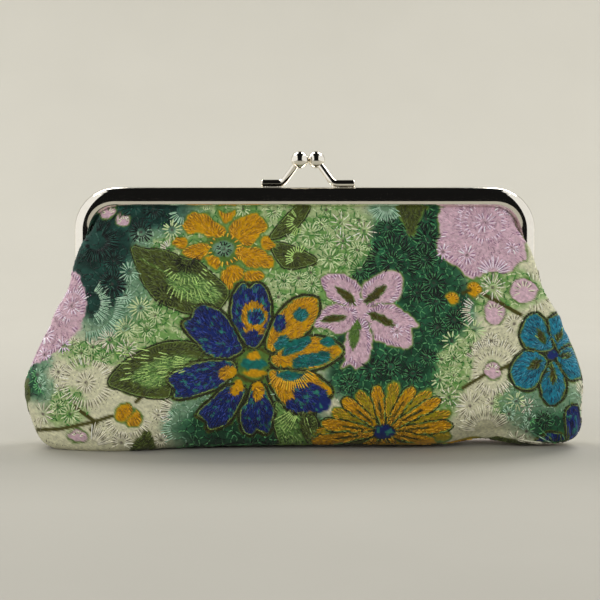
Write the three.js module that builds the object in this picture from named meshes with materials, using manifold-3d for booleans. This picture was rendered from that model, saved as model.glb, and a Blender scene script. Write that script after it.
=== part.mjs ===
// Kiss-lock purse of embroidered cloth: two sewn cloth panels crimped into a hinged pair of
// polished channel frames, which close with two crossing balls on bent posts.
// Millimetres, +Z up, front towards -Y, origin under the middle of the purse on the table.
import * as THREE from "three";
import { mergeVertices } from "three/addons/utils/BufferGeometryUtils.js";
import Module from "manifold-3d";

const wasm = await Module();
wasm.setup();

// Frame halves: a sheet-metal channel bent to an upside-down U, open towards the inside
const FRAME_WIDTH = 190;
const FRAME_TOP = 108;
const FRAME_CORNER_R = 17.5;
const FRAME_HALF_DEPTH = 5.6;
const FRAME_PARTING = 0.2;
const SHEET = 0.9;
const OUTER_EDGE_R = 3.0;
const FACE_FLAT = 5.2;
const LIP_R = 2.2;
const LIP_END_DEG = 25;
const BACK_WALL = 7.0;
const ARM_END_Z = 65;
const CORNER_STEPS = 8;
const SECTION_ARC_STEPS = 3;

// Hinge at the foot of the arms: one ear on each half and a rivet through both, along X
const HINGE_Z = 60;
const EAR_R = 3.8;
const EAR_OVERLAP = 3;
const EAR_GAP = 0.4;
const RIVET_R = 1.3;
const RIVET_HOLE_R = 1.6;
const RIVET_HEAD_R = 2.3;
const RIVET_HEAD = 0.6;
const RIVET_CLEAR = 0.25;

// Clasp: a round rod that lies on the frame's roof, bends up and ends in a ball
const CLASP_X = 1.3;
const CLASP_ROD_R = 1.5;
const CLASP_FOOT_END = 19.4;
const CLASP_BEND = 10.4;
const CLASP_BALL_R = 3.45;
const CLASP_BALL_X = 3.4;
const CLASP_BALL_Y = 1.3;
const CLASP_BALL_RISE = 11.2;
const CLASP_SEAT_Y = 2.9;
const CLASP_SEAT_GAP = 0.3;
const STUD_R = 0.8;
const STUD_HOLE_R = 1.15;
const STUD_LENGTH = 1.9;
const STUD_X = [12.2, 17.2];

// Cloth panels: a wall of even thickness about a middle surface
const WALL = 1.4;
const SLOT_Y = 2.15;
const SLOT_X = FRAME_WIDTH / 2 - 4;
const SEAM_GAP = 0.15;
const SEAM_RIDGE = 0.8;
const LIP_REACH = FACE_FLAT + LIP_R * Math.cos(THREE.MathUtils.degToRad(LIP_END_DEG));
const FACE_CLEAR = FRAME_HALF_DEPTH + WALL / 2 + 0.8;
const BASE_LIFT_FADE = 9;
const PANEL_ROWS = 23;
const PANEL_COLUMNS = 22;

// Sections of a panel from the frame down to the seam under the base. z is the height of the
// section, depth its distance from the seam plane at mid width, left and right its half widths,
// side the depth of its widest point, square its superellipse power, edge the depth of the
// panel's edge, overhang how far the cloth wraps the frame's arm, and seam whether it is sewn.
const SECTIONS = [
  { z: 101.6, depth: 2.15, left: 70.0, right: 70.0, side: 2.15, square: 2.0, edge: 2.15, overhang: 0, seam: 0 },
  { z: 99.2, depth: 3.2, left: 79.6, right: 79.6, side: 2.6, square: 2.4, edge: 2.15, overhang: 0, seam: 0 },
  { z: 96.0, depth: 5.9, left: 83.2, right: 83.2, side: 3.6, square: 2.6, edge: 2.15, overhang: 0, seam: 0 },
  { z: 91.0, depth: 9.4, left: 86.2, right: 86.2, side: 6.4, square: 2.6, edge: 2.15, overhang: 0, seam: 0 },
  { z: 84.0, depth: 13.0, left: 91.0, right: 91.0, side: 8.4, square: 2.5, edge: 2.15, overhang: 1, seam: 0 },
  { z: 76.0, depth: 16.4, left: 93.8, right: 93.8, side: 9.0, square: 2.4, edge: 2.15, overhang: 1, seam: 0 },
  { z: 66.0, depth: 19.4, left: 96.2, right: 96.8, side: 9.6, square: 2.3, edge: 2.15, overhang: 1, seam: 0 },
  { z: 55.0, depth: 21.6, left: 102.6, right: 103.7, side: 9.2, square: 2.3, edge: 0.9, overhang: 1, seam: 0.05 },
  { z: 46.5, depth: 22.9, left: 106.3, right: 107.4, side: 7.4, square: 2.3, edge: SEAM_GAP, overhang: 1, seam: 1 },
  { z: 37.0, depth: 23.8, left: 110.8, right: 111.5, side: 6.2, square: 2.35, edge: SEAM_GAP, overhang: 1, seam: 1 },
  { z: 27.0, depth: 23.8, left: 114.8, right: 114.2, side: 6.0, square: 2.4, edge: SEAM_GAP, overhang: 1, seam: 1 },
  { z: 17.5, depth: 21.8, left: 113.8, right: 114.0, side: 6.0, square: 2.5, edge: SEAM_GAP, overhang: 1, seam: 1 },
  { z: 9.5, depth: 17.4, left: 110.8, right: 114.0, side: 5.6, square: 2.6, edge: SEAM_GAP, overhang: 1, seam: 1 },
  { z: 4.2, depth: 12.4, left: 107.0, right: 112.0, side: 4.6, square: 2.7, edge: SEAM_GAP, overhang: 1, seam: 1 },
  { z: 1.5, depth: 8.0, left: 102.2, right: 106.6, side: 3.2, square: 2.8, edge: SEAM_GAP, overhang: 1, seam: 1 },
  { z: 0.7, depth: 4.4, left: 100.0, right: 100.6, side: 1.8, square: 2.6, edge: SEAM_GAP, overhang: 1, seam: 1 },
  { z: 0.7, depth: SEAM_GAP, left: 98.0, right: 98.6, side: SEAM_GAP, square: 2.0, edge: SEAM_GAP, overhang: 1, seam: 1 },
];

// Where the base stands clear of the table: middle and half width along X, and rise.
const BASE_LIFTS = [
  { name: "arch", x: 0, half: 88, rise: 1.6 },
  { name: "lifted hem", x: 73.5, half: 17, rise: 2.2 },
  { name: "right end", x: 95, half: 110, rise: 1.2 },
];

// Dents and swells of the stuffed cloth. x and z place the middle, lean turns the long axis from
// upright in degrees, length and width are its half sizes and push the height along the normal.
const FRONT_FOLDS = [
  { name: "lifted hem", x: 73, z: 4, lean: 85, length: 14, width: 8, push: -2.2 },
  { name: "left corner swell", x: -82, z: 5, lean: 82, length: 34, width: 9, push: 4.6 },
  { name: "right corner tuck", x: 92, z: 7, lean: 75, length: 24, width: 10, push: -2.6 },
  { name: "left shoulder", x: -84, z: 68, lean: 18, length: 20, width: 9, push: 1.4 },
  { name: "right shoulder", x: 86, z: 66, lean: -20, length: 20, width: 9, push: 1.2 },
  { name: "shallow middle", x: 28, z: 62, lean: 60, length: 34, width: 14, push: -0.9 },
  { name: "low middle swell", x: -34, z: 34, lean: 85, length: 36, width: 16, push: 0.8 },
];
const BACK_FOLDS = [
  { name: "left corner swell", x: -86, z: 6, lean: 75, length: 22, width: 9, push: 2.2 },
  { name: "right corner swell", x: 86, z: 6, lean: -75, length: 22, width: 9, push: 2.2 },
  { name: "shallow middle", x: -18, z: 58, lean: -65, length: 34, width: 14, push: -1.0 },
  { name: "right shoulder", x: 84, z: 68, lean: -18, length: 20, width: 9, push: 1.2 },
];

const POLISHED_NICKEL = new THREE.MeshStandardMaterial({ color: 0xd9d5cb, roughness: 0.12, metalness: 1 });
const GREEN_EMBROIDERY = new THREE.MeshStandardMaterial({ color: 0x7f9668, roughness: 0.75, metalness: 0 });

// Geometry helpers

// A closed mesh from points and triangles, turned so that its faces point out.
function closedGeometry(points, triangles) {
  const signed = (t) => points[t[0]].dot(new THREE.Vector3().crossVectors(points[t[1]], points[t[2]]));
  const volume = triangles.reduce((sum, t) => sum + signed(t), 0);
  const facingOut = volume < 0 ? triangles.map(([a, b, c]) => [a, c, b]) : triangles;
  return new THREE.BufferGeometry().setFromPoints(points).setIndex(facingOut.flat());
}

function solidOf(geometry) {
  const bare = geometry.clone();
  bare.deleteAttribute("normal");
  bare.deleteAttribute("uv");
  const merged = mergeVertices(bare, 1e-4);
  return new wasm.Manifold(
    new wasm.Mesh({
      numProp: 3,
      vertProperties: merged.attributes.position.array,
      triVerts: new Uint32Array(merged.index.array),
    }),
  );
}

function geometryOf(solid) {
  const mesh = solid.getMesh();
  const geometry = new THREE.BufferGeometry();
  geometry.setAttribute("position", new THREE.BufferAttribute(mesh.vertProperties, mesh.numProp));
  return geometry.setIndex(new THREE.BufferAttribute(mesh.triVerts, 1));
}

function named(name, geometry, material) {
  const mesh = new THREE.Mesh(geometry, material);
  mesh.name = name;
  return mesh;
}

// Frame halves

// Channel section in (inwards from the outer edge, out from the parting plane).
function channelSection() {
  const lipEnd = THREE.MathUtils.degToRad(LIP_END_DEG);
  const lipDepth = FRAME_HALF_DEPTH - LIP_R;
  const innerEdgeR = OUTER_EDGE_R - SHEET;
  const section = new THREE.Path();
  section.moveTo(BACK_WALL, FRAME_PARTING);
  section.lineTo(0, FRAME_PARTING);
  section.lineTo(0, FRAME_HALF_DEPTH - OUTER_EDGE_R);
  section.absarc(OUTER_EDGE_R, FRAME_HALF_DEPTH - OUTER_EDGE_R, OUTER_EDGE_R, Math.PI, Math.PI / 2, true);
  section.lineTo(FACE_FLAT, FRAME_HALF_DEPTH);
  section.absarc(FACE_FLAT, lipDepth, LIP_R, Math.PI / 2, lipEnd, true);
  section.absarc(FACE_FLAT, lipDepth, LIP_R - SHEET, lipEnd, Math.PI / 2, false);
  section.absarc(OUTER_EDGE_R, FRAME_HALF_DEPTH - OUTER_EDGE_R, innerEdgeR, Math.PI / 2, Math.PI, false);
  section.lineTo(SHEET, FRAME_PARTING + SHEET);
  section.lineTo(BACK_WALL, FRAME_PARTING + SHEET);
  const points = section.getPoints(SECTION_ARC_STEPS);
  const distinct = points.filter((p, i) => p.distanceTo(points[(i + 1) % points.length]) > 1e-3);
  return distinct.reverse();
}

// Stations along the outer edge of the U, from the left arm's foot to the right arm's.
function frameStations() {
  const half = FRAME_WIDTH / 2;
  const stations = [{ x: -half, z: ARM_END_Z, inX: 1, inZ: 0 }];
  for (const side of [-1, 1]) {
    for (let i = 0; i <= CORNER_STEPS; i++) {
      const share = i / CORNER_STEPS;
      const angle = ((side < 0 ? 1 - share : share) * Math.PI) / 2;
      const out = [side * Math.sin(angle), Math.cos(angle)];
      stations.push({
        x: side * (half - FRAME_CORNER_R) + FRAME_CORNER_R * out[0],
        z: FRAME_TOP - FRAME_CORNER_R + FRAME_CORNER_R * out[1],
        inX: -out[0],
        inZ: -out[1],
      });
    }
  }
  stations.push({ x: half, z: ARM_END_Z, inX: -1, inZ: 0 });
  return stations;
}

function channelGeometry(front) {
  const section = channelSection();
  const stations = frameStations();
  const count = section.length;
  const points = [];
  for (const s of stations) {
    for (const p of section) {
      points.push(new THREE.Vector3(s.x + s.inX * p.x, front * p.y, s.z + s.inZ * p.x));
    }
  }
  const triangles = [];
  for (let i = 0; i + 1 < stations.length; i++) {
    for (let k = 0; k < count; k++) {
      const a = i * count + k;
      const b = i * count + ((k + 1) % count);
      triangles.push([a, b, a + count], [b, b + count, a + count]);
    }
  }
  const last = (stations.length - 1) * count;
  for (const [a, b, c] of THREE.ShapeUtils.triangulateShape(section, [])) {
    triangles.push([a, c, b], [last + a, last + b, last + c]);
  }
  return closedGeometry(points, triangles);
}

// A flat piece drawn in (y, z), between two x values.
function plate(outline, xLow, xHigh) {
  const flat = new THREE.ExtrudeGeometry(outline, { depth: xHigh - xLow, bevelEnabled: false, curveSegments: 8 });
  flat.applyMatrix4(new THREE.Matrix4().set(0, 0, 1, xLow, 1, 0, 0, 0, 0, 1, 0, 0, 0, 0, 0, 1));
  return solidOf(flat);
}

function rivetHole(x) {
  const hole = new THREE.CylinderGeometry(RIVET_HOLE_R, RIVET_HOLE_R, 4 * SHEET, 16);
  hole.rotateZ(Math.PI / 2).translate(x, 0, HINGE_Z);
  return solidOf(hole);
}

// The ear hangs from the arm's roof: the front half's in line with it, the back half's one sheet
// further in, stepped so that both lie side by side on the rivet.
function ear(front, side) {
  const inner = front > 0 ? SHEET + EAR_GAP : 0;
  const near = front * (FRAME_PARTING + 0.5);
  const far = front * (FRAME_HALF_DEPTH - OUTER_EDGE_R);
  const box = (zLow) => {
    const top = ARM_END_Z + EAR_OVERLAP;
    return new THREE.Shape([[far, top], [far, zLow], [near, zLow], [near, top]].map((p) => new THREE.Vector2(...p)));
  };
  const disc = new THREE.Shape().absarc(0, HINGE_Z, EAR_R, 0, 2 * Math.PI, false);
  const half = FRAME_WIDTH / 2;
  const range = (low, high) => (side > 0 ? [half - high, half - low] : [-half + low, -half + high]);
  const [low, high] = range(inner, inner + SHEET);
  let made = plate(disc, low, high).add(plate(box(HINGE_Z), low, high));
  if (inner > 0) made = made.add(plate(box(ARM_END_Z + 0.5), ...range(SHEET / 2, inner + SHEET / 2)));
  return made.subtract(rivetHole(side * (half - inner - SHEET / 2)));
}

function studs(radius, length, front, claspSide) {
  return STUD_X.map((x) => {
    const stud = new THREE.CylinderGeometry(radius, radius, length, 8);
    stud.rotateX(Math.PI / 2);
    stud.translate(CLASP_X + claspSide * x, front * CLASP_SEAT_Y, 0);
    return stud;
  });
}

function frameHalf(front, claspSide) {
  let made = solidOf(channelGeometry(front));
  for (const side of [-1, 1]) made = made.add(ear(front, side));
  for (const hole of studs(STUD_HOLE_R, 4 * SHEET, front, claspSide)) {
    made = made.subtract(solidOf(hole.translate(0, 0, FRAME_TOP - SHEET / 2)));
  }
  return geometryOf(made);
}

// A rivet turned about X, with a head on each side of the two ears.
function rivet(side) {
  const outer = FRAME_WIDTH / 2 + RIVET_CLEAR;
  const inner = FRAME_WIDTH / 2 - 2 * SHEET - EAR_GAP - RIVET_CLEAR;
  const profile = [
    [0, inner - RIVET_HEAD],
    [RIVET_HEAD_R * 0.7, inner - RIVET_HEAD],
    [RIVET_HEAD_R * 0.85, inner],
    [RIVET_R, inner],
    [RIVET_R, outer],
    [RIVET_HEAD_R, outer],
    [RIVET_HEAD_R * 0.75, outer + RIVET_HEAD * 0.75],
    [RIVET_HEAD_R * 0.35, outer + RIVET_HEAD],
    [0, outer + RIVET_HEAD],
  ].map(([r, along]) => new THREE.Vector2(r, along));
  const turned = new THREE.LatheGeometry(profile, 12);
  turned.rotateZ((-side * Math.PI) / 2).translate(0, 0, HINGE_Z);
  return geometryOf(solidOf(turned));
}

// Clasp

// The post stands on one half's roof and leans its ball past the parting plane.
function clasp(front, side) {
  const footZ = FRAME_TOP + CLASP_SEAT_GAP + CLASP_ROD_R;
  const at = (x, y, z) => new THREE.Vector3(CLASP_X + side * x, front * y, z);
  const ballZ = FRAME_TOP + CLASP_BALL_RISE;
  const ball = at(CLASP_BALL_X, -CLASP_BALL_Y, ballZ);
  const bend = at(CLASP_BEND, CLASP_SEAT_Y, footZ);
  const toBall = ball.clone().sub(bend).normalize();
  const path = new THREE.CurvePath();
  const bendIn = at(CLASP_BEND + 1.8, CLASP_SEAT_Y, footZ);
  const bendOut = bend.clone().addScaledVector(toBall, 2.2);
  path.add(new THREE.LineCurve3(at(CLASP_FOOT_END, CLASP_SEAT_Y, footZ), bendIn));
  path.add(new THREE.QuadraticBezierCurve3(bendIn, bend, bendOut));
  path.add(new THREE.LineCurve3(bendOut, ball));
  const round = new THREE.Shape().absarc(0, 0, CLASP_ROD_R, 0, 2 * Math.PI, false);
  const rod = new THREE.ExtrudeGeometry(round, { steps: 14, extrudePath: path, curveSegments: 6 });
  const knob = new THREE.SphereGeometry(CLASP_BALL_R, 16, 9);
  knob.rotateX(Math.PI / 2).translate(ball.x, ball.y, ball.z);
  let made = solidOf(rod).add(solidOf(knob));
  for (const stud of studs(STUD_R, STUD_LENGTH + CLASP_ROD_R, front, side)) {
    made = made.add(solidOf(stud.translate(0, 0, footZ - (STUD_LENGTH + CLASP_ROD_R) / 2)));
  }
  return geometryOf(made);
}

// Cloth panels

// Catmull-Rom value of one table column at a fractional row.
function column(rows, key, at) {
  const i = Math.min(Math.floor(at), rows.length - 2);
  const t = at - i;
  const pick = (k) => rows[Math.min(Math.max(k, 0), rows.length - 1)][key];
  const [a, b, c, d] = [pick(i - 1), pick(i), pick(i + 1), pick(i + 2)];
  return b + 0.5 * t * (c - a + t * (2 * a - 5 * b + 4 * c - d + t * (3 * (b - c) + d - a)));
}

// How far out the frame's lip reaches at a height, along the arm or round the corner.
function lipX(z) {
  const centreX = FRAME_WIDTH / 2 - FRAME_CORNER_R;
  const radius = FRAME_CORNER_R - LIP_REACH;
  const above = Math.max(0, z - (FRAME_TOP - FRAME_CORNER_R));
  return centreX + Math.sqrt(Math.max(0, radius * radius - above * above));
}

function slotX(z) {
  const centreX = FRAME_WIDTH / 2 - FRAME_CORNER_R;
  const radius = SLOT_X - centreX;
  const above = Math.max(0, z - (FRAME_TOP - FRAME_CORNER_R));
  return centreX + Math.sqrt(Math.max(0, radius * radius - above * above));
}

// The stretch from a section's widest point to the panel's edge, as (x, depth) pairs: into the
// slot of the frame, round the lip first where the cloth overhangs, or straight to the seam.
function edgeStretch(section) {
  const { z, wide, side, edge, overhang, seam } = section;
  const lip = lipX(z);
  const slot = slotX(z);
  const turn = [lip - 1.5, Math.min(3.5, (side + edge) / 2)];
  const plain = [0.25, 0.5, 0.75].map((t) => [0, 1].map((k) => THREE.MathUtils.lerp([wide, side][k], turn[k], t)));
  const wrapped = [
    [Math.max(wide - 1.3, lip), Math.max(side - 2, FACE_CLEAR)],
    [Math.max(Math.min(wide - 3.2, SLOT_X), lip - 0.4), FACE_CLEAR],
    [lip - 0.6, FACE_CLEAR - 0.6],
  ];
  const held = plain.map((p, i) => [0, 1].map((k) => THREE.MathUtils.lerp(p[k], wrapped[i][k], overhang)));
  held.push(turn, [lip - 0.5, edge + 0.05], [slot, edge]);
  return held.map((p, i) => {
    const share = (i + 1) / held.length;
    const sewn = [wide + SEAM_RIDGE * share, THREE.MathUtils.lerp(side, edge, share)];
    return [0, 1].map((k) => THREE.MathUtils.lerp(p[k], sewn[k], seam));
  });
}

// One section of the panel from its left edge to its right edge.
function sectionPoints(at, front) {
  const value = (key) => column(SECTIONS, key, at);
  const clamped = (key) => THREE.MathUtils.clamp(value(key), 0, 1);
  const z = value("z");
  const side = value("side");
  const shared = { z, side, edge: value("edge"), overhang: clamped("overhang"), seam: clamped("seam") };
  const left = edgeStretch({ ...shared, wide: value("left") }).map(([x, depth]) => [-x, depth]);
  const right = edgeStretch({ ...shared, wide: value("right") });
  const middle = [];
  for (let i = 0; i <= PANEL_COLUMNS; i++) {
    const across = Math.sin((i / PANEL_COLUMNS - 0.5) * Math.PI);
    const power = value("square");
    const bulge = Math.pow(Math.max(0, 1 - Math.pow(Math.abs(across), power)), 1 / power);
    const wide = value(across < 0 ? "left" : "right");
    middle.push([wide * across, side + (value("depth") - side) * bulge]);
  }
  return [...left.reverse(), ...middle, ...right].map(([x, depth]) => {
    const lift = BASE_LIFTS.reduce((sum, b) => sum + b.rise * Math.max(0, 1 - ((x - b.x) / b.half) ** 2) ** 2, 0);
    return new THREE.Vector3(x, front * depth, z + lift * Math.exp(-z / BASE_LIFT_FADE));
  });
}

// Unit normals of a grid of points, pointing out of the purse.
function gridNormals(grid, front) {
  const rows = grid.length;
  const columns = grid[0].length;
  return grid.map((row, i) =>
    row.map((_, j) => {
      const down = grid[Math.min(i + 1, rows - 1)][j].clone().sub(grid[Math.max(i - 1, 0)][j]);
      const across = row[Math.min(j + 1, columns - 1)].clone().sub(row[Math.max(j - 1, 0)]);
      return down.cross(across).multiplyScalar(-front).normalize();
    }),
  );
}

function foldPush(folds, point) {
  return folds.reduce((sum, fold) => {
    const lean = THREE.MathUtils.degToRad(fold.lean);
    const dx = point.x - fold.x;
    const dz = point.z - fold.z;
    const along = (dx * Math.sin(lean) + dz * Math.cos(lean)) / fold.length;
    const across = (dx * Math.cos(lean) - dz * Math.sin(lean)) / fold.width;
    return sum + fold.push * Math.exp(-along * along - across * across);
  }, 0);
}

function panel(front, folds) {
  const edgeColumns = 7;
  let grid = [];
  for (let i = 0; i <= PANEL_ROWS; i++) {
    grid.push(sectionPoints((i / PANEL_ROWS) * (SECTIONS.length - 1), front));
  }
  const smooth = gridNormals(grid, front);
  const lastColumn = grid[0].length - 1;
  grid = grid.map((row, i) =>
    row.map((point, j) => {
      const fromEdge = Math.min(j, lastColumn - j) / edgeColumns;
      const fromSeam = Math.min(1, (PANEL_ROWS - i) / 3);
      const push = foldPush(folds, point) * Math.min(1, fromEdge) * fromSeam;
      return point.clone().addScaledVector(smooth[i][j], push);
    }),
  );
  const normals = gridNormals(grid, front);
  const shell = (offset) =>
    grid.flatMap((row, i) => row.map((p, j) => p.clone().addScaledVector(normals[i][j], offset)));
  const points = [...shell(WALL / 2), ...shell(-WALL / 2)];
  for (const p of points) {
    p.setY(front * Math.max(front * p.y, SEAM_GAP));
    p.setZ(Math.max(p.z, 0));
  }
  const rows = grid.length;
  const columns = grid[0].length;
  const inner = rows * columns;
  const triangles = [];
  const quad = (a, b, c, d) => triangles.push([a, b, c], [a, c, d]);
  for (let i = 0; i + 1 < rows; i++) {
    for (let j = 0; j + 1 < columns; j++) {
      const k = i * columns + j;
      quad(k, k + columns, k + columns + 1, k + 1);
      quad(inner + k, inner + k + 1, inner + k + columns + 1, inner + k + columns);
    }
  }
  const rim = [];
  for (let j = 0; j + 1 < columns; j++) rim.push(j);
  for (let i = 0; i + 1 < rows; i++) rim.push(i * columns + columns - 1);
  for (let j = columns - 1; j > 0; j--) rim.push((rows - 1) * columns + j);
  for (let i = rows - 1; i > 0; i--) rim.push(i * columns);
  rim.forEach((a, i) => {
    const b = rim[(i + 1) % rim.length];
    quad(a, b, inner + b, inner + a);
  });
  return closedGeometry(points, triangles);
}

const FRONT = -1;
const BACK = 1;
const LEFT = -1;
const RIGHT = 1;

const purse = new THREE.Group();
purse.add(
  named("panel_front", panel(FRONT, FRONT_FOLDS), GREEN_EMBROIDERY),
  named("panel_back", panel(BACK, BACK_FOLDS), GREEN_EMBROIDERY),
  named("frame_front", frameHalf(FRONT, RIGHT), POLISHED_NICKEL),
  named("frame_back", frameHalf(BACK, LEFT), POLISHED_NICKEL),
  named("clasp_front", clasp(FRONT, RIGHT), POLISHED_NICKEL),
  named("clasp_back", clasp(BACK, LEFT), POLISHED_NICKEL),
  named("hinge_rivet_left", rivet(LEFT), POLISHED_NICKEL),
  named("hinge_rivet_right", rivet(RIGHT), POLISHED_NICKEL),
);

// The origin is under the middle of the purse's bounds, on the table.
const bounds = new THREE.Box3().setFromObject(purse);
const middle = bounds.getCenter(new THREE.Vector3());
for (const mesh of purse.children) mesh.geometry.translate(-middle.x, -middle.y, -bounds.min.z);

export default purse;
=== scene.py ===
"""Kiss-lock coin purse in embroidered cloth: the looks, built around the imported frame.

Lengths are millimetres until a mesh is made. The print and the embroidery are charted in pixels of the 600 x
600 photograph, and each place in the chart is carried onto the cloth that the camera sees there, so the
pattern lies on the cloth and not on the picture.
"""

import math

import bpy
import numpy as np
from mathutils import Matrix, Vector


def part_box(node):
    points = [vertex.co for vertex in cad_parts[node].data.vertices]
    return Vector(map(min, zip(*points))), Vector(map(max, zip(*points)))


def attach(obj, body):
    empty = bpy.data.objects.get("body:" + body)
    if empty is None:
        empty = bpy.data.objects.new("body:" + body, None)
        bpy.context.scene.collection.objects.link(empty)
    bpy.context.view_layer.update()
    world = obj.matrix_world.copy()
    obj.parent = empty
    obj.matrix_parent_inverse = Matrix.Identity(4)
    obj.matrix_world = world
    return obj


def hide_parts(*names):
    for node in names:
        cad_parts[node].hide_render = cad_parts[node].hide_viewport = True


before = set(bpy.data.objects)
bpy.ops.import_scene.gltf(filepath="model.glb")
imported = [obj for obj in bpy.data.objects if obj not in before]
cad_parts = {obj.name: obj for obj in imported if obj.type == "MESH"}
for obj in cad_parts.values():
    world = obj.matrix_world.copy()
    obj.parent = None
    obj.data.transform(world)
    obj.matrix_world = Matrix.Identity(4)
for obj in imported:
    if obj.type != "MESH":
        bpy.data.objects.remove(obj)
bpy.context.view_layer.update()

MM = 0.001
SEED = 20
random = np.random.default_rng(SEED)

# Driving sizes of the metal frame and the cloth. They follow the CAD model, apart from the section of
# the frame, the tongues of its hinge ears, the clasp's balls and the seat of its posts.
FRAME_WIDTH = 190.0
FRAME_TOP = 108.0
FRAME_CORNER_R = 17.5
FRAME_HALF_DEPTH = 5.6
FRAME_PARTING = 0.2
SHEET = 0.9
OUTER_EDGE_R = 2.2
FACE_FLAT = 5.5
LIP_R = 2.6
LIP_END = math.radians(25)

# The frame's section on its arms, where it is rounder than on the bar
ARM_EDGE_R = 4.5
ARM_FACE_FLAT = 4.6
ARM_LIP_R = 3.4

BACK_WALL = 7.0
ARM_END_Z = 65.0
HINGE_Z = 60.0
EAR_R = 3.8
EAR_GAP = 0.4
EAR_BACK, EAR_FACE = FRAME_PARTING + 0.5, 1.7
EAR_STEP_Z, EAR_TOP_Z = ARM_END_Z + 0.5, ARM_END_Z + 3
RIVET_R = 1.3
RIVET_HEAD_R = 2.3
RIVET_HEAD = 0.6
RIVET_CLEAR = 0.25
CLASP_X = 1.3
CLASP_ROD_R = 1.5
CLASP_FOOT_END = 19.4
CLASP_BEND = 10.4
CLASP_BALL_R = 3.6
CLASP_BALL_X = 3.4
CLASP_BALL_Y = 1.3
CLASP_BALL_RISE = 11.2
CLASP_SEAT_Y = 2.9
CLASP_SEAT_GAP = 0.05
CLASP_BEND_IN, CLASP_BEND_OUT = 1.8, 2.2
STUD_R = 0.8
STUD_LENGTH = 1.9
STUD_X = (12.2, 17.2)
WALL = 1.4
SLOT_X = FRAME_WIDTH / 2 - 4
SEAM_GAP = 0.15
SEAM_RIDGE = 0.8
CORNER_X = FRAME_WIDTH / 2 - FRAME_CORNER_R
CORNER_Z = FRAME_TOP - FRAME_CORNER_R
LIP_REACH = FACE_FLAT + LIP_R * math.cos(LIP_END)
FACE_GAP = 0.8
FACE_CLEAR = FRAME_HALF_DEPTH + WALL / 2 + FACE_GAP
BASE_LIFT_FADE = 9.0
FRONT, BACK = -1, 1

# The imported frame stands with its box's middle on the origin, so the design's own middle is read
# from the front frame half.
low_front, high_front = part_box("frame_front")
SHIFT = np.array([
    (low_front.x + high_front.x) / 2 / MM,
    low_front.y / MM + FRAME_HALF_DEPTH,
    high_front.z / MM - FRAME_TOP,
])

# The photograph's view: the camera's place and aim in the design's millimetres
PHOTO_SIZE = 600
SENSOR_WIDTH = 36.0
CAMERA_AT = np.array([-2.0, -700.0, 130.0])
CAMERA_AIM = np.array([-2.0, 0.0, 61.2])
CAMERA_LENS = 101.6
FOCAL_PX = CAMERA_LENS / SENSOR_WIDTH * PHOTO_SIZE

# Sections of a cloth panel from the frame down to the seam under the base
SECTION_COLUMNS = ("z", "depth", "left", "right", "side", "square", "edge", "overhang", "seam")
SECTIONS = np.array([
    (101.6, 2.15, 70.0, 70.0, 2.15, 2.0, 2.15, 0, 0),
    (99.2, 3.2, 79.6, 79.6, 2.6, 2.4, 2.15, 0, 0),
    (96.0, 5.9, 83.2, 83.2, 3.6, 2.6, 2.15, 0, 0),
    (91.0, 9.4, 86.2, 86.2, 6.4, 2.6, 2.15, 0, 0),
    (84.0, 13.0, 91.0, 91.0, 8.4, 2.5, 2.15, 1, 0),
    (76.0, 16.4, 93.8, 93.8, 9.0, 2.4, 2.15, 1, 0),
    (66.0, 19.4, 96.2, 96.8, 9.6, 2.3, 2.15, 1, 0),
    (55.0, 21.6, 102.6, 103.7, 9.2, 2.3, 0.9, 1, 0.05),
    (46.5, 22.9, 106.3, 107.4, 7.4, 2.3, SEAM_GAP, 1, 1),
    (37.0, 23.8, 110.8, 111.5, 6.2, 2.35, SEAM_GAP, 1, 1),
    (27.0, 23.8, 114.8, 114.2, 6.0, 2.4, SEAM_GAP, 1, 1),
    (17.5, 21.8, 113.8, 114.0, 6.0, 2.5, SEAM_GAP, 1, 1),
    (9.5, 17.4, 110.8, 114.0, 5.6, 2.6, SEAM_GAP, 1, 1),
    (4.2, 12.4, 107.0, 112.0, 4.6, 2.7, SEAM_GAP, 1, 1),
    (1.5, 8.0, 102.2, 106.6, 3.2, 2.8, SEAM_GAP, 1, 1),
    (0.7, 4.4, 100.0, 100.6, 1.8, 2.6, SEAM_GAP, 1, 1),
    (0.7, SEAM_GAP, 98.0, 98.6, SEAM_GAP, 2.0, SEAM_GAP, 1, 1),
])

# Where the base stands clear of the table: middle and half width along X, and rise
BASE_LIFTS = [(0, 88, 1.6), (73.5, 17, 2.2), (95, 110, 1.2)]

# Dents and swells: x, z, lean from upright in degrees, half length, half width, push
FOLDS = {
    FRONT: [
        (73, 4, 85, 14, 8, -2.2),
        (-82, 5, 82, 34, 9, 4.6),
        (92, 7, 75, 24, 10, -2.6),
        (-84, 68, 18, 20, 9, 1.4),
        (86, 66, -20, 20, 9, 1.2),
        (28, 62, 60, 34, 14, -0.9),
        (-34, 34, 85, 36, 16, 0.8),
    ],
    BACK: [
        (-86, 6, 75, 22, 9, 2.2),
        (86, 6, -75, 22, 9, 2.2),
        (-18, 58, -65, 34, 14, -1.0),
        (84, 68, -18, 20, 9, 1.2),
    ],
}
FOLD_EDGE_FADE = 9.0
FOLD_SEAM_FADE = 0.13

# Grid sizes: the dense loft, the evenly spaced cloth made from it, and the step of its coarse inside;
# then how often and how strongly the grid is smoothed
LOFT_ROWS, LOFT_COLUMNS = 320, 360
CLOTH_ROWS, CLOTH_COLUMNS = {FRONT: 200, BACK: 152}, {FRONT: 432, BACK: 328}
INNER_STEP = 8
EASING_PASSES, EASING_WEIGHT = 2, 0.25

# The cloth's edge where it folds back over an arm of the frame, turns round the lip and runs into the
# slot: shares of a plain edge, and how far in from the widest point, down, and past the lip it lies
PLAIN_SHARES = (0.25, 0.5, 0.75)
WRAP_INSETS, WRAP_DROP = (1.3, 3.2), 2
WRAP_PAST_LIP, ROUND_LIP = 0.4, 0.6
TUCK_PAST_LIP, TUCK_DEPTH = 1.5, 3.5
SLOT_PAST_LIP, SLOT_RISE = 0.5, 0.05

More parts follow.
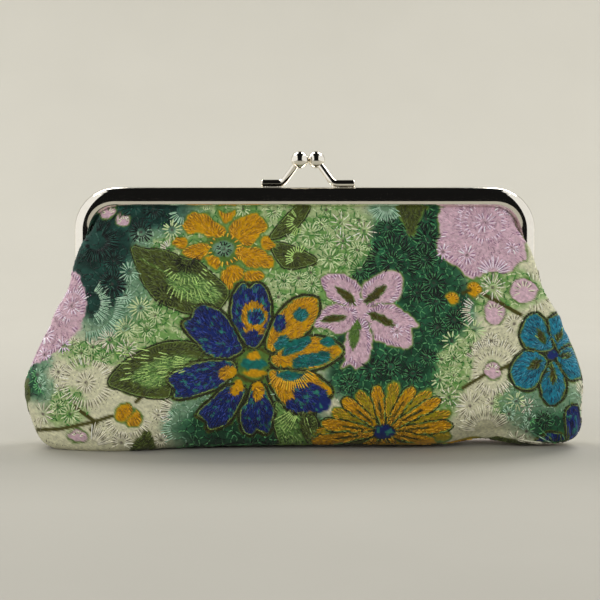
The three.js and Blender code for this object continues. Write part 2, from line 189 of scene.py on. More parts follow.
# The chart on the cloth: least facing that counts as seen, slowest change of a pixel for its length of
# cloth, the change where the cloth is out of sight, and the search for the cloth at a chart point
SEEN_FACING, SLOWEST, UNSEEN_SCALE = 0.12, 0.25, 0.8
SEARCH_CELL, SEARCH_PASSES, SEARCH_STEP, SEARCH_MISS = 2.0, 4, 2, 0.7


# Small helpers

def lerp(a, b, t):
    return a + (b - a) * t


def smooth(t):
    t = np.clip(t, 0, 1)
    return t * t * (3 - 2 * t)


def linear(srgb):
    """Linear light of an sRGB colour given from 0 to 255."""
    c = np.asarray(srgb, float) / 255
    return np.where(c <= 0.04045, c / 12.92, ((c + 0.055) / 1.055) ** 2.4)


def unit(vectors):
    return vectors / np.maximum(np.linalg.norm(vectors, axis=-1, keepdims=True), 1e-9)


def value_noise(xy, cell, seed):
    """Smooth noise from 0 to 1 over the plane, with lumps about one cell wide."""
    size = (61, 67)
    table = np.random.default_rng(seed).random(size)
    g = xy / cell
    i = np.floor(g).astype(int)
    t = smooth(g - i)

    def at(dx, dy):
        return table[(i[:, 0] + dx) % size[0], (i[:, 1] + dy) % size[1]]

    near = lerp(at(0, 0), at(1, 0), t[:, 0])
    far = lerp(at(0, 1), at(1, 1), t[:, 0])
    return lerp(near, far, t[:, 1])


def noise_pair(xy, cell, seeds):
    """Two noises from -0.5 to 0.5, as a shift of each point."""
    return np.stack([value_noise(xy, cell, seed) for seed in seeds], -1) - 0.5


def between(a, b, c, d, t):
    """The smooth curve through four values in a row, from b to c."""
    return b + 0.5 * t * (c - a + t * (2 * a - 5 * b + 4 * c - d + t * (3 * (b - c) + d - a)))


def closed_curve(points, steps=5):
    """A smooth closed outline through a few points."""
    p = np.asarray(points, float)
    t = (np.arange(steps) / steps)[:, None]
    corners = range(len(p))
    return np.concatenate([between(*(p[(k + o) % len(p)] for o in (-1, 0, 1, 2)), t) for k in corners])


# Cloth surface

def section_column(name, at):
    values = SECTIONS[:, SECTION_COLUMNS.index(name)]
    i = np.minimum(np.floor(at).astype(int), len(values) - 2)
    return between(*(values[np.clip(i + o, 0, len(values) - 1)] for o in (-1, 0, 1, 2)), at - i)


def reach_at(z, radius):
    """How far out a line parallel to the frame's edge lies at a height, round the corner too."""
    above = np.maximum(0, z - CORNER_Z)
    return CORNER_X + np.sqrt(np.maximum(0, radius**2 - above**2))


def edge_stretch(z, wide, side, edge, overhang, seam):
    """From the widest point into the frame's slot, round its lip, or straight to the seam."""
    lip = reach_at(z, FRAME_CORNER_R - LIP_REACH)
    slot = reach_at(z, SLOT_X - CORNER_X)
    turn = (lip - TUCK_PAST_LIP, np.minimum(TUCK_DEPTH, (side + edge) / 2))
    plain = [(lerp(wide, turn[0], t), lerp(side, turn[1], t)) for t in PLAIN_SHARES]
    first, second = (wide - inset for inset in WRAP_INSETS)
    wrapped = [
        (np.maximum(first, lip), np.maximum(side - WRAP_DROP, FACE_CLEAR)),
        (np.maximum(np.minimum(second, SLOT_X), lip - WRAP_PAST_LIP), FACE_CLEAR),
        (lip - ROUND_LIP, FACE_CLEAR - ROUND_LIP),
    ]
    held = [[lerp(p[k], w[k], overhang) for k in (0, 1)] for p, w in zip(plain, wrapped)]
    held += [turn, (lip - SLOT_PAST_LIP, edge + SLOT_RISE), (slot, edge)]
    stretch = []
    for i, point in enumerate(held):
        share = (i + 1) / len(held)
        sewn = (wide + SEAM_RIDGE * share, lerp(side, edge, share))
        stretch.append([lerp(point[k], sewn[k], seam) for k in (0, 1)])
    return stretch


def grid_normals(grid, front):
    down = np.gradient(grid, axis=0)
    across = np.gradient(grid, axis=1)
    return unit(np.cross(down, across) * -front)


def loft(front):
    """The panel's middle surface as a dense grid, rows from the frame down to the base seam."""
    at = np.linspace(0, len(SECTIONS) - 1, LOFT_ROWS + 1)
    v = {name: section_column(name, at) for name in SECTION_COLUMNS}
    held = [v["side"], v["edge"], np.clip(v["overhang"], 0, 1), np.clip(v["seam"], 0, 1)]
    left = edge_stretch(v["z"], v["left"], *held)
    right = edge_stretch(v["z"], v["right"], *held)
    columns = [(-x, depth) for x, depth in reversed(left)]
    for across in np.sin((np.arange(LOFT_COLUMNS + 1) / LOFT_COLUMNS - 0.5) * math.pi):
        bulge = np.maximum(0, 1 - abs(across) ** v["square"]) ** (1 / v["square"])
        wide = v["left"] if across < 0 else v["right"]
        columns.append((wide * across, v["side"] + (v["depth"] - v["side"]) * bulge))
    columns += [tuple(p) for p in right]
    x = np.stack([c[0] for c in columns], 1)
    depth = np.stack([c[1] for c in columns], 1)
    z = np.repeat(v["z"][:, None], x.shape[1], 1)
    lift = sum(rise * np.maximum(0, 1 - ((x - x0) / half) ** 2) ** 2 for x0, half, rise in BASE_LIFTS)
    return np.stack([x, front * depth, z + lift * np.exp(-z / BASE_LIFT_FADE)], -1)


def distances(grid, axis):
    step = np.linalg.norm(np.diff(grid, axis=axis), axis=-1)
    start = np.zeros_like(np.take(step, [0], axis=axis))
    return np.concatenate([start, np.cumsum(step, axis=axis)], axis=axis)


def evenly_spaced(grid, rows, columns):
    """The grid resampled at even steps along the cloth."""
    run = distances(grid, 1)
    share = np.linspace(0, 1, columns + 1)
    across = np.empty((len(grid), columns + 1, 3))
    for i, row in enumerate(grid):
        for k in range(3):
            across[i, :, k] = np.interp(share * run[i, -1], run[i], row[:, k])
    fall = distances(across[:, [columns // 2]], 0)[:, 0]
    wanted = np.linspace(0, fall[-1], rows + 1)
    even = np.empty((rows + 1, columns + 1, 3))
    for j in range(columns + 1):
        for k in range(3):
            even[:, j, k] = np.interp(wanted, fall, across[:, j, k])
    return even


def eased(grid, passes):
    """The grid with the small kinks of its loft smoothed out, edges kept."""
    for _ in range(passes):
        grid = grid.copy()
        grid[:, 1:-1] += EASING_WEIGHT * (grid[:, :-2] - 2 * grid[:, 1:-1] + grid[:, 2:])
        grid[1:-1] += EASING_WEIGHT * (grid[:-2] - 2 * grid[1:-1] + grid[2:])
    return grid


class Panel:
    """One cloth panel: middle surface, normals, and each point's place in the print's chart."""

    def __init__(self, front):
        self.front = front
        grid = evenly_spaced(loft(front), CLOTH_ROWS[front], CLOTH_COLUMNS[front])
        grid = eased(grid, EASING_PASSES)
        self.rows, self.columns = CLOTH_ROWS[front] + 1, CLOTH_COLUMNS[front] + 1
        normal = grid_normals(grid, front)
        run = distances(grid, 1)
        from_edge = np.minimum(run, run[:, -1:] - run)
        fade = smooth(from_edge / FOLD_EDGE_FADE)
        fade *= smooth(np.linspace(1, 0, self.rows) / FOLD_SEAM_FADE)[:, None]
        push = np.zeros(grid.shape[:2])
        for x, z, lean, length, width, height in FOLDS[front]:
            turn = math.radians(lean)
            dx, dz = grid[..., 0] - x, grid[..., 2] - z
            along = (dx * math.sin(turn) + dz * math.cos(turn)) / length
            across = (dx * math.cos(turn) - dz * math.sin(turn)) / width
            push += height * np.exp(-along**2 - across**2)
        self.middle = grid + normal * (push * fade)[..., None]
        self.normal = grid_normals(self.middle, front)
        self.outer = self.offset(WALL / 2)
        self.chart = self.charted()

    def offset(self, distance):
        """The surface beside the middle one, kept on its own side of the seam and off the table."""
        made = self.middle + self.normal * distance
        made[..., 1] = self.front * np.maximum(self.front * made[..., 1], SEAM_GAP)
        made[..., 2] = np.maximum(made[..., 2], 0)
        return made

    def charted(self):
        """Chart place of every point of the outer surface: the pixel it is seen at, carried on at
        the cloth's own scale where the surface turns out of sight."""
        x, y, faces = seen_at(self.outer, self.normal, self.front)
        per_mm = FOCAL_PX / abs(CAMERA_AT[1])
        mid_column, mid_row = self.columns // 2, self.rows // 2
        chart_x = carried(x, distances(self.outer, 1), faces, per_mm, mid_column, 1)
        chart_y = carried(y, distances(self.outer, 0), faces, per_mm, mid_row, 0)
        return np.stack([chart_x, chart_y], -1)

    def seat(self, chart_points):
        """Grid places (row, column) of chart points, and whether each lies on the cloth."""
        p = np.asarray(chart_points, float)
        flat = self.chart.reshape(-1, 2)
        low = flat.min(0)
        size = np.ceil((flat.max(0) - low) / SEARCH_CELL).astype(int) + 1
        bins = np.full(size, -1)
        key = ((flat - low) / SEARCH_CELL).astype(int)
        bins[key[:, 0], key[:, 1]] = np.arange(len(flat))
        want = np.clip(((p - low) / SEARCH_CELL).astype(int), 0, size - 1)
        start = bins[want[:, 0], want[:, 1]]
        found = start >= 0
        row, column = np.divmod(np.maximum(start, 0), self.columns)
        place = np.stack([row, column], -1).astype(float)
        for _ in range(SEARCH_PASSES):
            miss = p - self.sample(self.chart, place)
            down, across = (
                self.sample(self.chart, place + half) - self.sample(self.chart, place - half)
                for half in (np.array([0.5, 0]), np.array([0, 0.5]))
            )
            det = across[:, 0] * down[:, 1] - across[:, 1] * down[:, 0]
            det = np.where(np.abs(det) < 1e-3, 1e-3, det)
            step_c = (miss[:, 0] * down[:, 1] - miss[:, 1] * down[:, 0]) / det
            step_r = (miss[:, 1] * across[:, 0] - miss[:, 0] * across[:, 1]) / det
            place += np.clip(np.stack([step_r, step_c], -1), -SEARCH_STEP, SEARCH_STEP)
            place = np.clip(place, 0, [self.rows - 1, self.columns - 1])
        miss = np.linalg.norm(p - self.sample(self.chart, place), axis=1)
        return place, found & (miss < SEARCH_MISS)

    def sample(self, grid, place):
        place = np.clip(place, 0, [self.rows - 1.001, self.columns - 1.001])
        i = np.floor(place).astype(int)
        t = place - i
        t0, t1 = t[:, :1], t[:, 1:]
        top = lerp(grid[i[:, 0], i[:, 1]], grid[i[:, 0], i[:, 1] + 1], t1)
        below = lerp(grid[i[:, 0] + 1, i[:, 1]], grid[i[:, 0] + 1, i[:, 1] + 1], t1)
        return lerp(top, below, t0)


def seen_at(points, normal, front):
    """Pixels at which the camera sees points, and how squarely each faces it. The back panel is
    seen by the same camera turned half round the purse."""
    half_turn = [1, 1, 1] if front == FRONT else [-1, -1, 1]
    facing = normal * half_turn
    pitch = math.atan2(CAMERA_AT[2] - CAMERA_AIM[2], -CAMERA_AT[1])
    rel = points * half_turn - CAMERA_AT
    ahead = rel[..., 1] * math.cos(pitch) - rel[..., 2] * math.sin(pitch)
    up = rel[..., 2] * math.cos(pitch) + rel[..., 1] * math.sin(pitch)
    squarely = -(facing * rel).sum(-1) / np.linalg.norm(rel, axis=-1)
    middle = PHOTO_SIZE / 2
    return middle + FOCAL_PX * rel[..., 0] / ahead, middle - FOCAL_PX * up / ahead, squarely


def carried(pixel, run, squarely, per_mm, start, axis):
    """Pixel coordinate summed along the cloth from its middle, never folding back."""
    step = np.diff(pixel, axis=axis)
    length = np.diff(run, axis=axis) * per_mm
    pair = [slice(None)] * 2
    pair[axis] = slice(1, None)
    shown = squarely[tuple(pair)] > SEEN_FACING
    sign = np.sign(np.median(step))
    step = np.where(shown, np.maximum(sign * step, SLOWEST * length), UNSEEN_SCALE * length) * sign
    total = np.concatenate([np.zeros_like(np.take(step, [0], axis)), np.cumsum(step, axis)], axis)
    return total - np.take(total, [start], axis) + np.take(pixel, [start], axis)


# Print: zones, their colours, and the chart in photo pixels

CREAM, LACE, TEAL, LILAC, GOLD, BLUE, OLIVE, LEAF, SKY, MINT, DEEP = range(11)
GROUND = {
    CREAM: (208, 206, 174),
    LACE: (116, 158, 86),
    TEAL: (34, 80, 54),
    LILAC: (208, 175, 187),
    GOLD: (198, 146, 14),
    BLUE: (26, 42, 104),
    OLIVE: (76, 86, 38),
    LEAF: (110, 152, 78),
    SKY: (32, 120, 144),
    MINT: (116, 150, 120),
    DEEP: (28, 62, 54),
}
SLOT_OLIVE = (70, 68, 24)
SEA_GREEN = (22, 102, 94)
EDGE_GREEN = (84, 116, 50)
LIGHT_EDGE = (112, 146, 66)
# Dark grey of the painted shade in the eyelet holes
EYELET_SHADE_GREY = (72, 64, 60)
SHADE_GOLD = (158, 142, 24)
DAISY_SHADE = (96, 96, 26)
FLECK_GREEN = (52, 128, 112)
LACE_PALE = (168, 186, 132)

# Flecks in a zone: zone, colour, noise cell and seed, noise from which they start, softness
FLECKS = [(BLUE, FLECK_GREEN, 3.2, 5, 0.68, 0.1), (LACE, LACE_PALE, 4.0, 7, 0.35, 0.3)]

# Mottled zones: zones, noise cell and seed, darkest share, spread
MOTTLES = [
    ((SKY,), 2.4, 6, 0.82, 0.36),
    ((TEAL, DEEP), 6.0, 8, 0.7, 0.6),
    (tuple(GROUND), 1.3, 9, 0.9, 0.2),
]

# Zones whose stitches a plain colour takes
TINT_ZONES = {SLOT_OLIVE: OLIVE, EDGE_GREEN: LEAF, SEA_GREEN: SKY, DAISY_SHADE: OLIVE}

# How far the print strays from its chart, in pixels: noise cell and reach, for forms and for clouds
WOBBLE_CELL, WOBBLE = 4, 2.8
DRIFT_CELL, DRIFT, CLOUD_WOBBLE = 22, 14, 4

# Softness of printed edges in pixels, the bands of a form's rim, and the margins within which points
# are looked up round a form and a stroke
RIM_SOFT, SPOT_SOFT, EDGE_SOFT = 1.6, 1.4, 1.2
DARK_RIM_SHARE, LIGHT_RIM = 0.75, 0.7
FORM_MARGIN, STROKE_MARGIN = 6, 8

# Soft clouds of ground colour: zone, x, y, half width, half height, share of the half size that fades
CLOUDS = [
    (LACE, 285, 248, 92, 62, 0.4),
    (LACE, 300, 318, 60, 44, 0.5),
    (LACE, 190, 352, 60, 30, 0.5),
    (MINT, 226, 404, 52, 28, 0.6),
    (LACE, 205, 240, 62, 50, 0.5),
    (LACE, 168, 312, 52, 36, 0.5),
    (LACE, 126, 330, 24, 20, 0.6),
    (LACE, 112, 352, 20, 12, 0.6),
    (LACE, 66, 408, 22, 20, 0.7),
    (LACE, 80, 352, 22, 12, 0.7),
    (LACE, 446, 345, 24, 60, 0.6),
    (LACE, 500, 288, 44, 22, 0.5),
    (LACE, 516, 402, 24, 20, 0.6),
    (LACE, 445, 385, 20, 30, 0.7),
    (MINT, 104, 262, 52, 74, 0.6),
    (MINT, 150, 216, 52, 24, 0.7),
    (DEEP, 94, 255, 36, 60, 0.35),
    (DEEP, 138, 212, 46, 18, 0.6),
    (LACE, 364, 258, 24, 34, 0.8),
    (MINT, 452, 300, 22, 42, 0.8),
    (TEAL, 416, 236, 42, 50, 0.4),
    (TEAL, 410, 300, 62, 62, 0.35),
    (TEAL, 384, 368, 60, 44, 0.4),
    (MINT, 190, 424, 22, 26, 0.8),
    (TEAL, 252, 432, 72, 32, 0.4),
    (TEAL, 300, 452, 120, 22, 0.5),
    (MINT, 540, 405, 40, 36, 0.8),
    (TEAL, 556, 429, 32, 16, 0.9),
    (MINT, 40, 372, 14, 34, 0.7),
    (TEAL, 33, 378, 9, 22, 0.9),
    (MINT, 386, 206, 18, 16, 0.8),
]

# Printed forms in the order they are laid down: zone, edge width, outline
LEAF_EDGE, LONG_LEAF_EDGE, SMALL_LEAF_EDGE = 2.6, 2.4, 2.0
PETAL_EDGE, SKY_EDGE, LOW_EDGE, DAISY_EDGE, BUD_EDGE, NO_EDGE = 4.2, 3.6, 3.0, 2.0, 1.6, 0
LEAF_FADE = 9.0
FORMS = [
    # Leaves, and the lighter or darker parts of some
    (OLIVE, SMALL_LEAF_EDGE, [
        (132, 248), (146, 250), (164, 251), (182, 258), (198, 262), (213, 276), (228, 290), (222, 305),
        (210, 315), (192, 313), (176, 309), (158, 300), (146, 286), (140, 273),
    ]),
    (LEAF, NO_EDGE, [(167, 279), (186, 271), (206, 281), (222, 294), (210, 305), (190, 301), (175, 292)]),
    (OLIVE, SMALL_LEAF_EDGE, [(271, 238), (282, 222), (297, 207), (310, 203), (304, 218), (290, 232)]),
    (OLIVE, SMALL_LEAF_EDGE, [(272, 245), (290, 246), (316, 260), (300, 267), (283, 266)]),
    (OLIVE, LONG_LEAF_EDGE, [
        (109, 382), (124, 363), (146, 350), (167, 343), (190, 343), (212, 352), (216, 367), (190, 372),
        (172, 384), (167, 397), (144, 396), (121, 389),
    ]),
    (LEAF, NO_EDGE, [(130, 378), (150, 363), (176, 356), (198, 361), (174, 378), (152, 388)]),
    (LEAF, LEAF_EDGE, [(274, 404), (300, 408), (316, 420), (314, 442), (296, 446), (280, 442)]),
    (OLIVE, NO_EDGE, [(302, 412), (318, 424), (313, 444), (302, 436)]),
    (OLIVE, NO_EDGE, [(147, 429), (157, 450), (144, 453), (130, 450)]),
    (OLIVE, BUD_EDGE, [(394, 202), (410, 200), (428, 202), (419, 220), (411, 236), (402, 219)]),
    (OLIVE, NO_EDGE, [(22, 374), (27, 374), (30, 388), (29, 400), (24, 404)]),
    # Lilac clumps at the left edge and below the frame's right corner
    (LILAC, NO_EDGE, [
        (75, 270), (82, 282), (86, 297), (86, 309), (80, 328), (70, 340), (56, 352), (36, 363), (14, 360),
        (20, 330), (38, 300), (56, 270),
    ]),
    (LILAC, BUD_EDGE, [
        (449, 203), (438, 219), (441, 233), (436, 244), (440, 255), (452, 263), (463, 272), (474, 278),
        (488, 272), (510, 271), (520, 262), (526, 255), (524, 230), (516, 208), (490, 200),
    ]),
    # Gold flower
    (GOLD, BUD_EDGE, [(173, 242), (178, 237), (188, 240), (184, 248), (176, 247)]),
    (GOLD, BUD_EDGE, [(182, 252), (190, 246), (206, 243), (209, 250), (200, 259), (188, 257)]),
    (GOLD, BUD_EDGE, [(206, 256), (218, 257), (220, 266), (214, 269), (208, 262)]),
    (GOLD, BUD_EDGE, [(226, 268), (236, 265), (244, 270), (242, 278), (234, 283), (230, 290), (222, 278)]),
    (GOLD, BUD_EDGE, [(246, 272), (261, 271), (263, 278), (252, 281), (245, 280)]),
    (GOLD, BUD_EDGE, [
        (238, 248), (252, 246), (266, 253), (274, 262), (273, 268), (262, 267), (252, 268), (243, 262),
        (236, 256),
    ]),
    (GOLD, BUD_EDGE, [(260, 240), (268, 237), (275, 245), (270, 250), (262, 248)]),
    (GOLD, BUD_EDGE, [(218, 211), (226, 213), (234, 210), (236, 214), (230, 221), (226, 224), (222, 219)]),
    (GOLD, BUD_EDGE, [
        (232, 223), (238, 219), (250, 214), (257, 213), (265, 222), (266, 230), (260, 234), (252, 245),
        (244, 245), (236, 238), (230, 233),
    ]),
    (GOLD, BUD_EDGE, [
        (183, 225), (191, 214), (198, 213), (208, 215), (214, 221), (223, 227), (226, 231), (220, 237),
        (209, 237), (200, 233), (188, 233),
    ]),
    # Blue flower: three gold petals, then five blue ones
    (GOLD, PETAL_EDGE, [
        (267, 346), (272, 326), (284, 309), (300, 298), (317, 300), (316, 316), (306, 332), (288, 345),
        (276, 351),
    ]),
    (GOLD, PETAL_EDGE, [
        (271, 361), (282, 350), (300, 341), (322, 338), (342, 350), (330, 362), (308, 370), (288, 372),
    ]),
    (GOLD, PETAL_EDGE, [
        (269, 373), (284, 371), (306, 373), (322, 381), (331, 392), (318, 402), (312, 412), (292, 410),
        (278, 396),
    ]),
    (BLUE, PETAL_EDGE, [
        (233, 300), (238, 288), (244, 284), (249, 289), (256, 284), (264, 288), (269, 300), (270, 316),
        (265, 333), (257, 346), (250, 346), (240, 334), (232, 316),
    ]),
    (BLUE, PETAL_EDGE, [
        (183, 324), (192, 319), (195, 310), (205, 306), (219, 311), (230, 324), (239, 342), (241, 351),
        (225, 358), (210, 354), (193, 338),
    ]),
    (BLUE, PETAL_EDGE, [
        (168, 380), (182, 368), (205, 362), (231, 362), (234, 371), (225, 381), (207, 391), (176, 398),
        (177, 389),
    ]),
    (BLUE, PETAL_EDGE, [
        (198, 414), (211, 401), (226, 388), (243, 387), (241, 400), (227, 422), (210, 429), (207, 420),
    ]),
    (BLUE, PETAL_EDGE, [
        (241, 412), (248, 402), (253, 387), (262, 385), (268, 398), (273, 412), (267, 432), (257, 429),
        (250, 434), (243, 428),
    ]),
    # Lilac flower
    (LILAC, BUD_EDGE, [
        (321, 279), (330, 274), (340, 273), (350, 277), (361, 287), (364, 302), (356, 308), (345, 307),
        (333, 301), (325, 293),
    ]),
    (LILAC, BUD_EDGE, [
        (362, 288), (371, 278), (385, 272), (395, 271), (402, 277), (402, 287), (398, 299), (390, 305),
        (376, 309), (365, 306),
    ]),
    (LILAC, BUD_EDGE, [
        (390, 304), (403, 310), (412, 318), (418, 326), (411, 329), (411, 344), (402, 348), (380, 342),
        (370, 336), (361, 318), (370, 308),
    ]),
    (LILAC, BUD_EDGE, [
        (371, 334), (370, 352), (366, 362), (357, 369), (350, 364), (342, 368), (345, 358), (345, 344),
        (351, 326), (361, 316),
    ]),
    (LILAC, BUD_EDGE, [
        (334, 304), (323, 310), (316, 320), (314, 327), (325, 328), (339, 334), (350, 330), (359, 318),
        (357, 308), (345, 306),
    ]),
    # Sky-blue flower at the right edge
    (SKY, SKY_EDGE, [(521, 334), (528, 318), (538, 315), (548, 327), (553, 341), (550, 350), (528, 349)]),
    (SKY, SKY_EDGE, [(549, 324), (560, 314), (567, 325), (574, 343), (561, 354)]),
    (SKY, SKY_EDGE, [(559, 354), (574, 347), (581, 363), (579, 377), (568, 377), (560, 366)]),
    (SKY, SKY_EDGE, [(553, 362), (562, 374), (565, 386), (562, 397), (551, 404), (543, 394), (541, 377)]),
    (SKY, SKY_EDGE, [(546, 360), (528, 351), (515, 361), (511, 374), (519, 387), (533, 388), (540, 376)]),
    # Two blue petals at the lower right edge of the cloth, and a dark olive patch in the notch of the hem's
    # fold, partly a leaf of the print and partly painted shade of that fold
    (BLUE, LOW_EDGE, [(566, 412), (575, 406), (586, 412), (588, 434), (570, 434)]),
    (BLUE, LOW_EDGE, [(536, 444), (546, 435), (558, 434), (568, 442), (560, 456), (542, 456)]),
    (OLIVE, NO_EDGE, [(456, 442), (470, 437), (485, 436), (500, 440), (488, 448), (466, 448)]),
    # Two-lobed gold bud
    (GOLD, BUD_EDGE, [(115, 412), (121, 405), (129, 405), (133, 411), (128, 420), (119, 422)]),
    (GOLD, BUD_EDGE, [(136, 411), (141, 417), (139, 425), (131, 427), (127, 423), (131, 416)]),
]

# Discs under the flowers' middles, where their petals meet: colour, x, y, half width, half height, turn
UNDERLAYS = [
    (EDGE_GREEN, 253, 362, 30, 30, 0),
    (EDGE_GREEN, 224, 249, 22, 17, 0),
    (LILAC, 361, 312, 14, 14, 0),
    (SLOT_OLIVE, 553, 356, 12, 12, 0),
    (DAISY_SHADE, 384, 432, 58, 36, 0),
    (SLOT_OLIVE, 253.5, 364, 21, 18.5, 0),
]

# Long petals of the daisy: tip x and y, and whether the petal lies in the darker layer behind
DAISY_CENTRE = (384, 432)
DAISY_HALF_WIDTH = 5.6
DAISY_VEIN, DAISY_VEIN_WIDTH = (0.3, 0.66), 2.2

# Half of a daisy petal's outline: share of its length, and of its half width
DAISY_OUTLINE = [(0.12, 0.25), (0.5, 0.75), (0.82, 1.0), (0.96, 0.6), (1.0, 0.0)]
DAISY_PETALS = [
    (358, 391, True), (395, 382, True), (431, 391, True), (451, 413, True), (332, 411, True),
    (313, 433, True), (451, 436, True), (400, 470, True), (362, 470, True),
    (343, 399, False), (376, 386, False), (413, 387, False), (440, 399, False), (452, 425, False),
    (436, 443, False), (321, 423, False), (311, 442, False), (420, 466, False), (382, 474, False),
    (342, 464, False),
]

# Rounded spots: colour, x, y, half width, half height, turn in degrees
SPOTS = [
    # Blue flower: eye of the top petal, dabs on the other petals, and the middle
    (GOLD, 254, 316, 13, 14, 0), (SEA_GREEN, 256, 317, 8.5, 8.5, 0), (BLUE, 256, 317, 6, 6, 0),
    (GOLD, 254, 331, 11, 7, 0), (BLUE, 254, 336, 9, 5, 5),
    (GOLD, 228, 373, 7, 9, 70), (GOLD, 237, 388, 6, 8, 40), (GOLD, 258, 390, 6.5, 10, 0),
    (BLUE, 280, 323, 6.5, 9, 10), (SEA_GREEN, 301, 315, 8, 7, 0), (SEA_GREEN, 282, 343, 9, 6, -35),
    (SEA_GREEN, 297, 346, 16, 6.5, -30), (SEA_GREEN, 312, 360, 21, 7, -12), (SEA_GREEN, 328, 342, 8, 5, 10),
    (SEA_GREEN, 292, 376, 17, 5, 4), (BLUE, 312, 397, 20, 13, 32), (BLUE, 298, 406, 13, 7, 15),
    (EDGE_GREEN, 253.5, 364, 17, 15, 0), (SEA_GREEN, 254, 364, 13, 6, 0), (GOLD, 253, 356, 6.5, 5, 0),
    (GOLD, 255, 373, 12, 3.6, 0),
    # Middles of the gold, lilac, daisy and sky-blue flowers
    (MINT, 223, 249, 11, 7.5, 0), (LILAC, 361, 311, 12, 10, 0),
    (SLOT_OLIVE, 384, 432, 13, 8.5, 0), (BLUE, 384, 432, 11, 7, 0), (BLUE, 553, 355, 5.5, 5, 0),
]

# Round buds with a green rim: zone, x, y, half width, half height
BUD_RIM = 1.5
BUDS = [
    (LILAC, 108, 211, 7.4, 7),
    (LILAC, 123.5, 220, 6.2, 6),
    (LILAC, 524, 291, 14, 12),
    (LILAC, 494.3, 311.4, 10, 13),
    (LILAC, 492.6, 370.5, 8, 8),
    (LILAC, 77.6, 436, 9, 6),
    (GOLD, 474, 289.5, 7, 8),
    (GOLD, 452.5, 298.4, 6, 6),
]

# Strokes: colour, width, points. One that is wider than a stem is a slot, pointed, with a green rim.
SLOT, STEM, VEIN, SLOT_RIM = 7.0, 3.8, 1.6, 1
STROKES = [
    # Slots in the petals of the lilac flower
    (SLOT_OLIVE, SLOT, [(336, 287), (357, 305)]), (SLOT_OLIVE, SLOT + 1, [(386, 286), (365, 303)]),
    (SLOT_OLIVE, SLOT, [(321, 321), (346, 316)]), (SLOT_OLIVE, SLOT, [(368, 313), (394, 325)]),
    (EDGE_GREEN, SLOT + 2, [(358, 320), (352, 350)]),
    # Slots in the petals of the sky-blue flower
    (SLOT_OLIVE, 6, [(537, 329), (545, 342)]), (SLOT_OLIVE, 5, [(562, 330), (557, 342)]),
    (SLOT_OLIVE, 5, [(561, 356), (570, 356)]), (SLOT_OLIVE, 5, [(551, 364), (554, 384)]),
    (SLOT_OLIVE, 7, [(528, 368), (542, 361)]),
    # Stems of the buds
    (SLOT_OLIVE, STEM, [(34, 430), (60, 429), (94, 422), (112, 416)]),
    (SLOT_OLIVE, STEM, [(94, 421), (75, 407)]), (SLOT_OLIVE, STEM, [(97, 422), (91, 430)]),
    (SLOT_OLIVE, STEM, [(143, 395), (136, 402)]), (SLOT_OLIVE, STEM, [(463, 388), (484, 375)]),
    (SLOT_OLIVE, STEM, [(501, 369), (511, 364)]), (SLOT_OLIVE, STEM, [(463, 293), (470, 290)]),
    (SLOT_OLIVE, STEM, [(483, 294), (502, 304), (521, 315)]),
    # Veins of two leaves
    (EDGE_GREEN, VEIN, [(118, 380), (150, 372), (190, 366)]),
    (EDGE_GREEN, VEIN, [(140, 258), (185, 284), (216, 300)]),
]


def outline_distance(xy, outline):
    """Distance of points from a closed outline, below zero inside it."""
    a = outline[None]
    span = np.roll(outline, -1, axis=0)[None] - a
    rel = xy[:, None] - a
    t = np.clip((rel * span).sum(-1) / np.maximum((span**2).sum(-1), 1e-9), 0, 1)
    far = np.linalg.norm(rel - t[..., None] * span, axis=-1).min(1)
    end_y = a[..., 1] + span[..., 1]
    crosses = (a[..., 1] > xy[:, None, 1]) != (end_y > xy[:, None, 1])
    slope = rel[..., 1] / np.where(np.abs(span[..., 1]) < 1e-9, 1e-9, span[..., 1])
    inside = (crosses & (rel[..., 0] < slope * span[..., 0])).sum(1) % 2 == 1
    return np.where(inside, -far, far)


def daisy_petal(tip):
    """A long rounded petal from the daisy's middle to its tip."""
    start, end = np.array(DAISY_CENTRE, float), np.array(tip, float)
    ahead = end - start
    side = np.array([-ahead[1], ahead[0]]) / np.linalg.norm(ahead)
    up = [start + ahead * t + side * DAISY_HALF_WIDTH * w for t, w in DAISY_OUTLINE]
    down = [start + ahead * t - side * DAISY_HALF_WIDTH * w for t, w in reversed(DAISY_OUTLINE[:-1])]
    return up + down


def covered(far, reach, soft):
    """Share of cover at a distance from a shape: full inside its reach, none outside, a soft edge."""
    return smooth(0.5 - (far - reach) / soft)


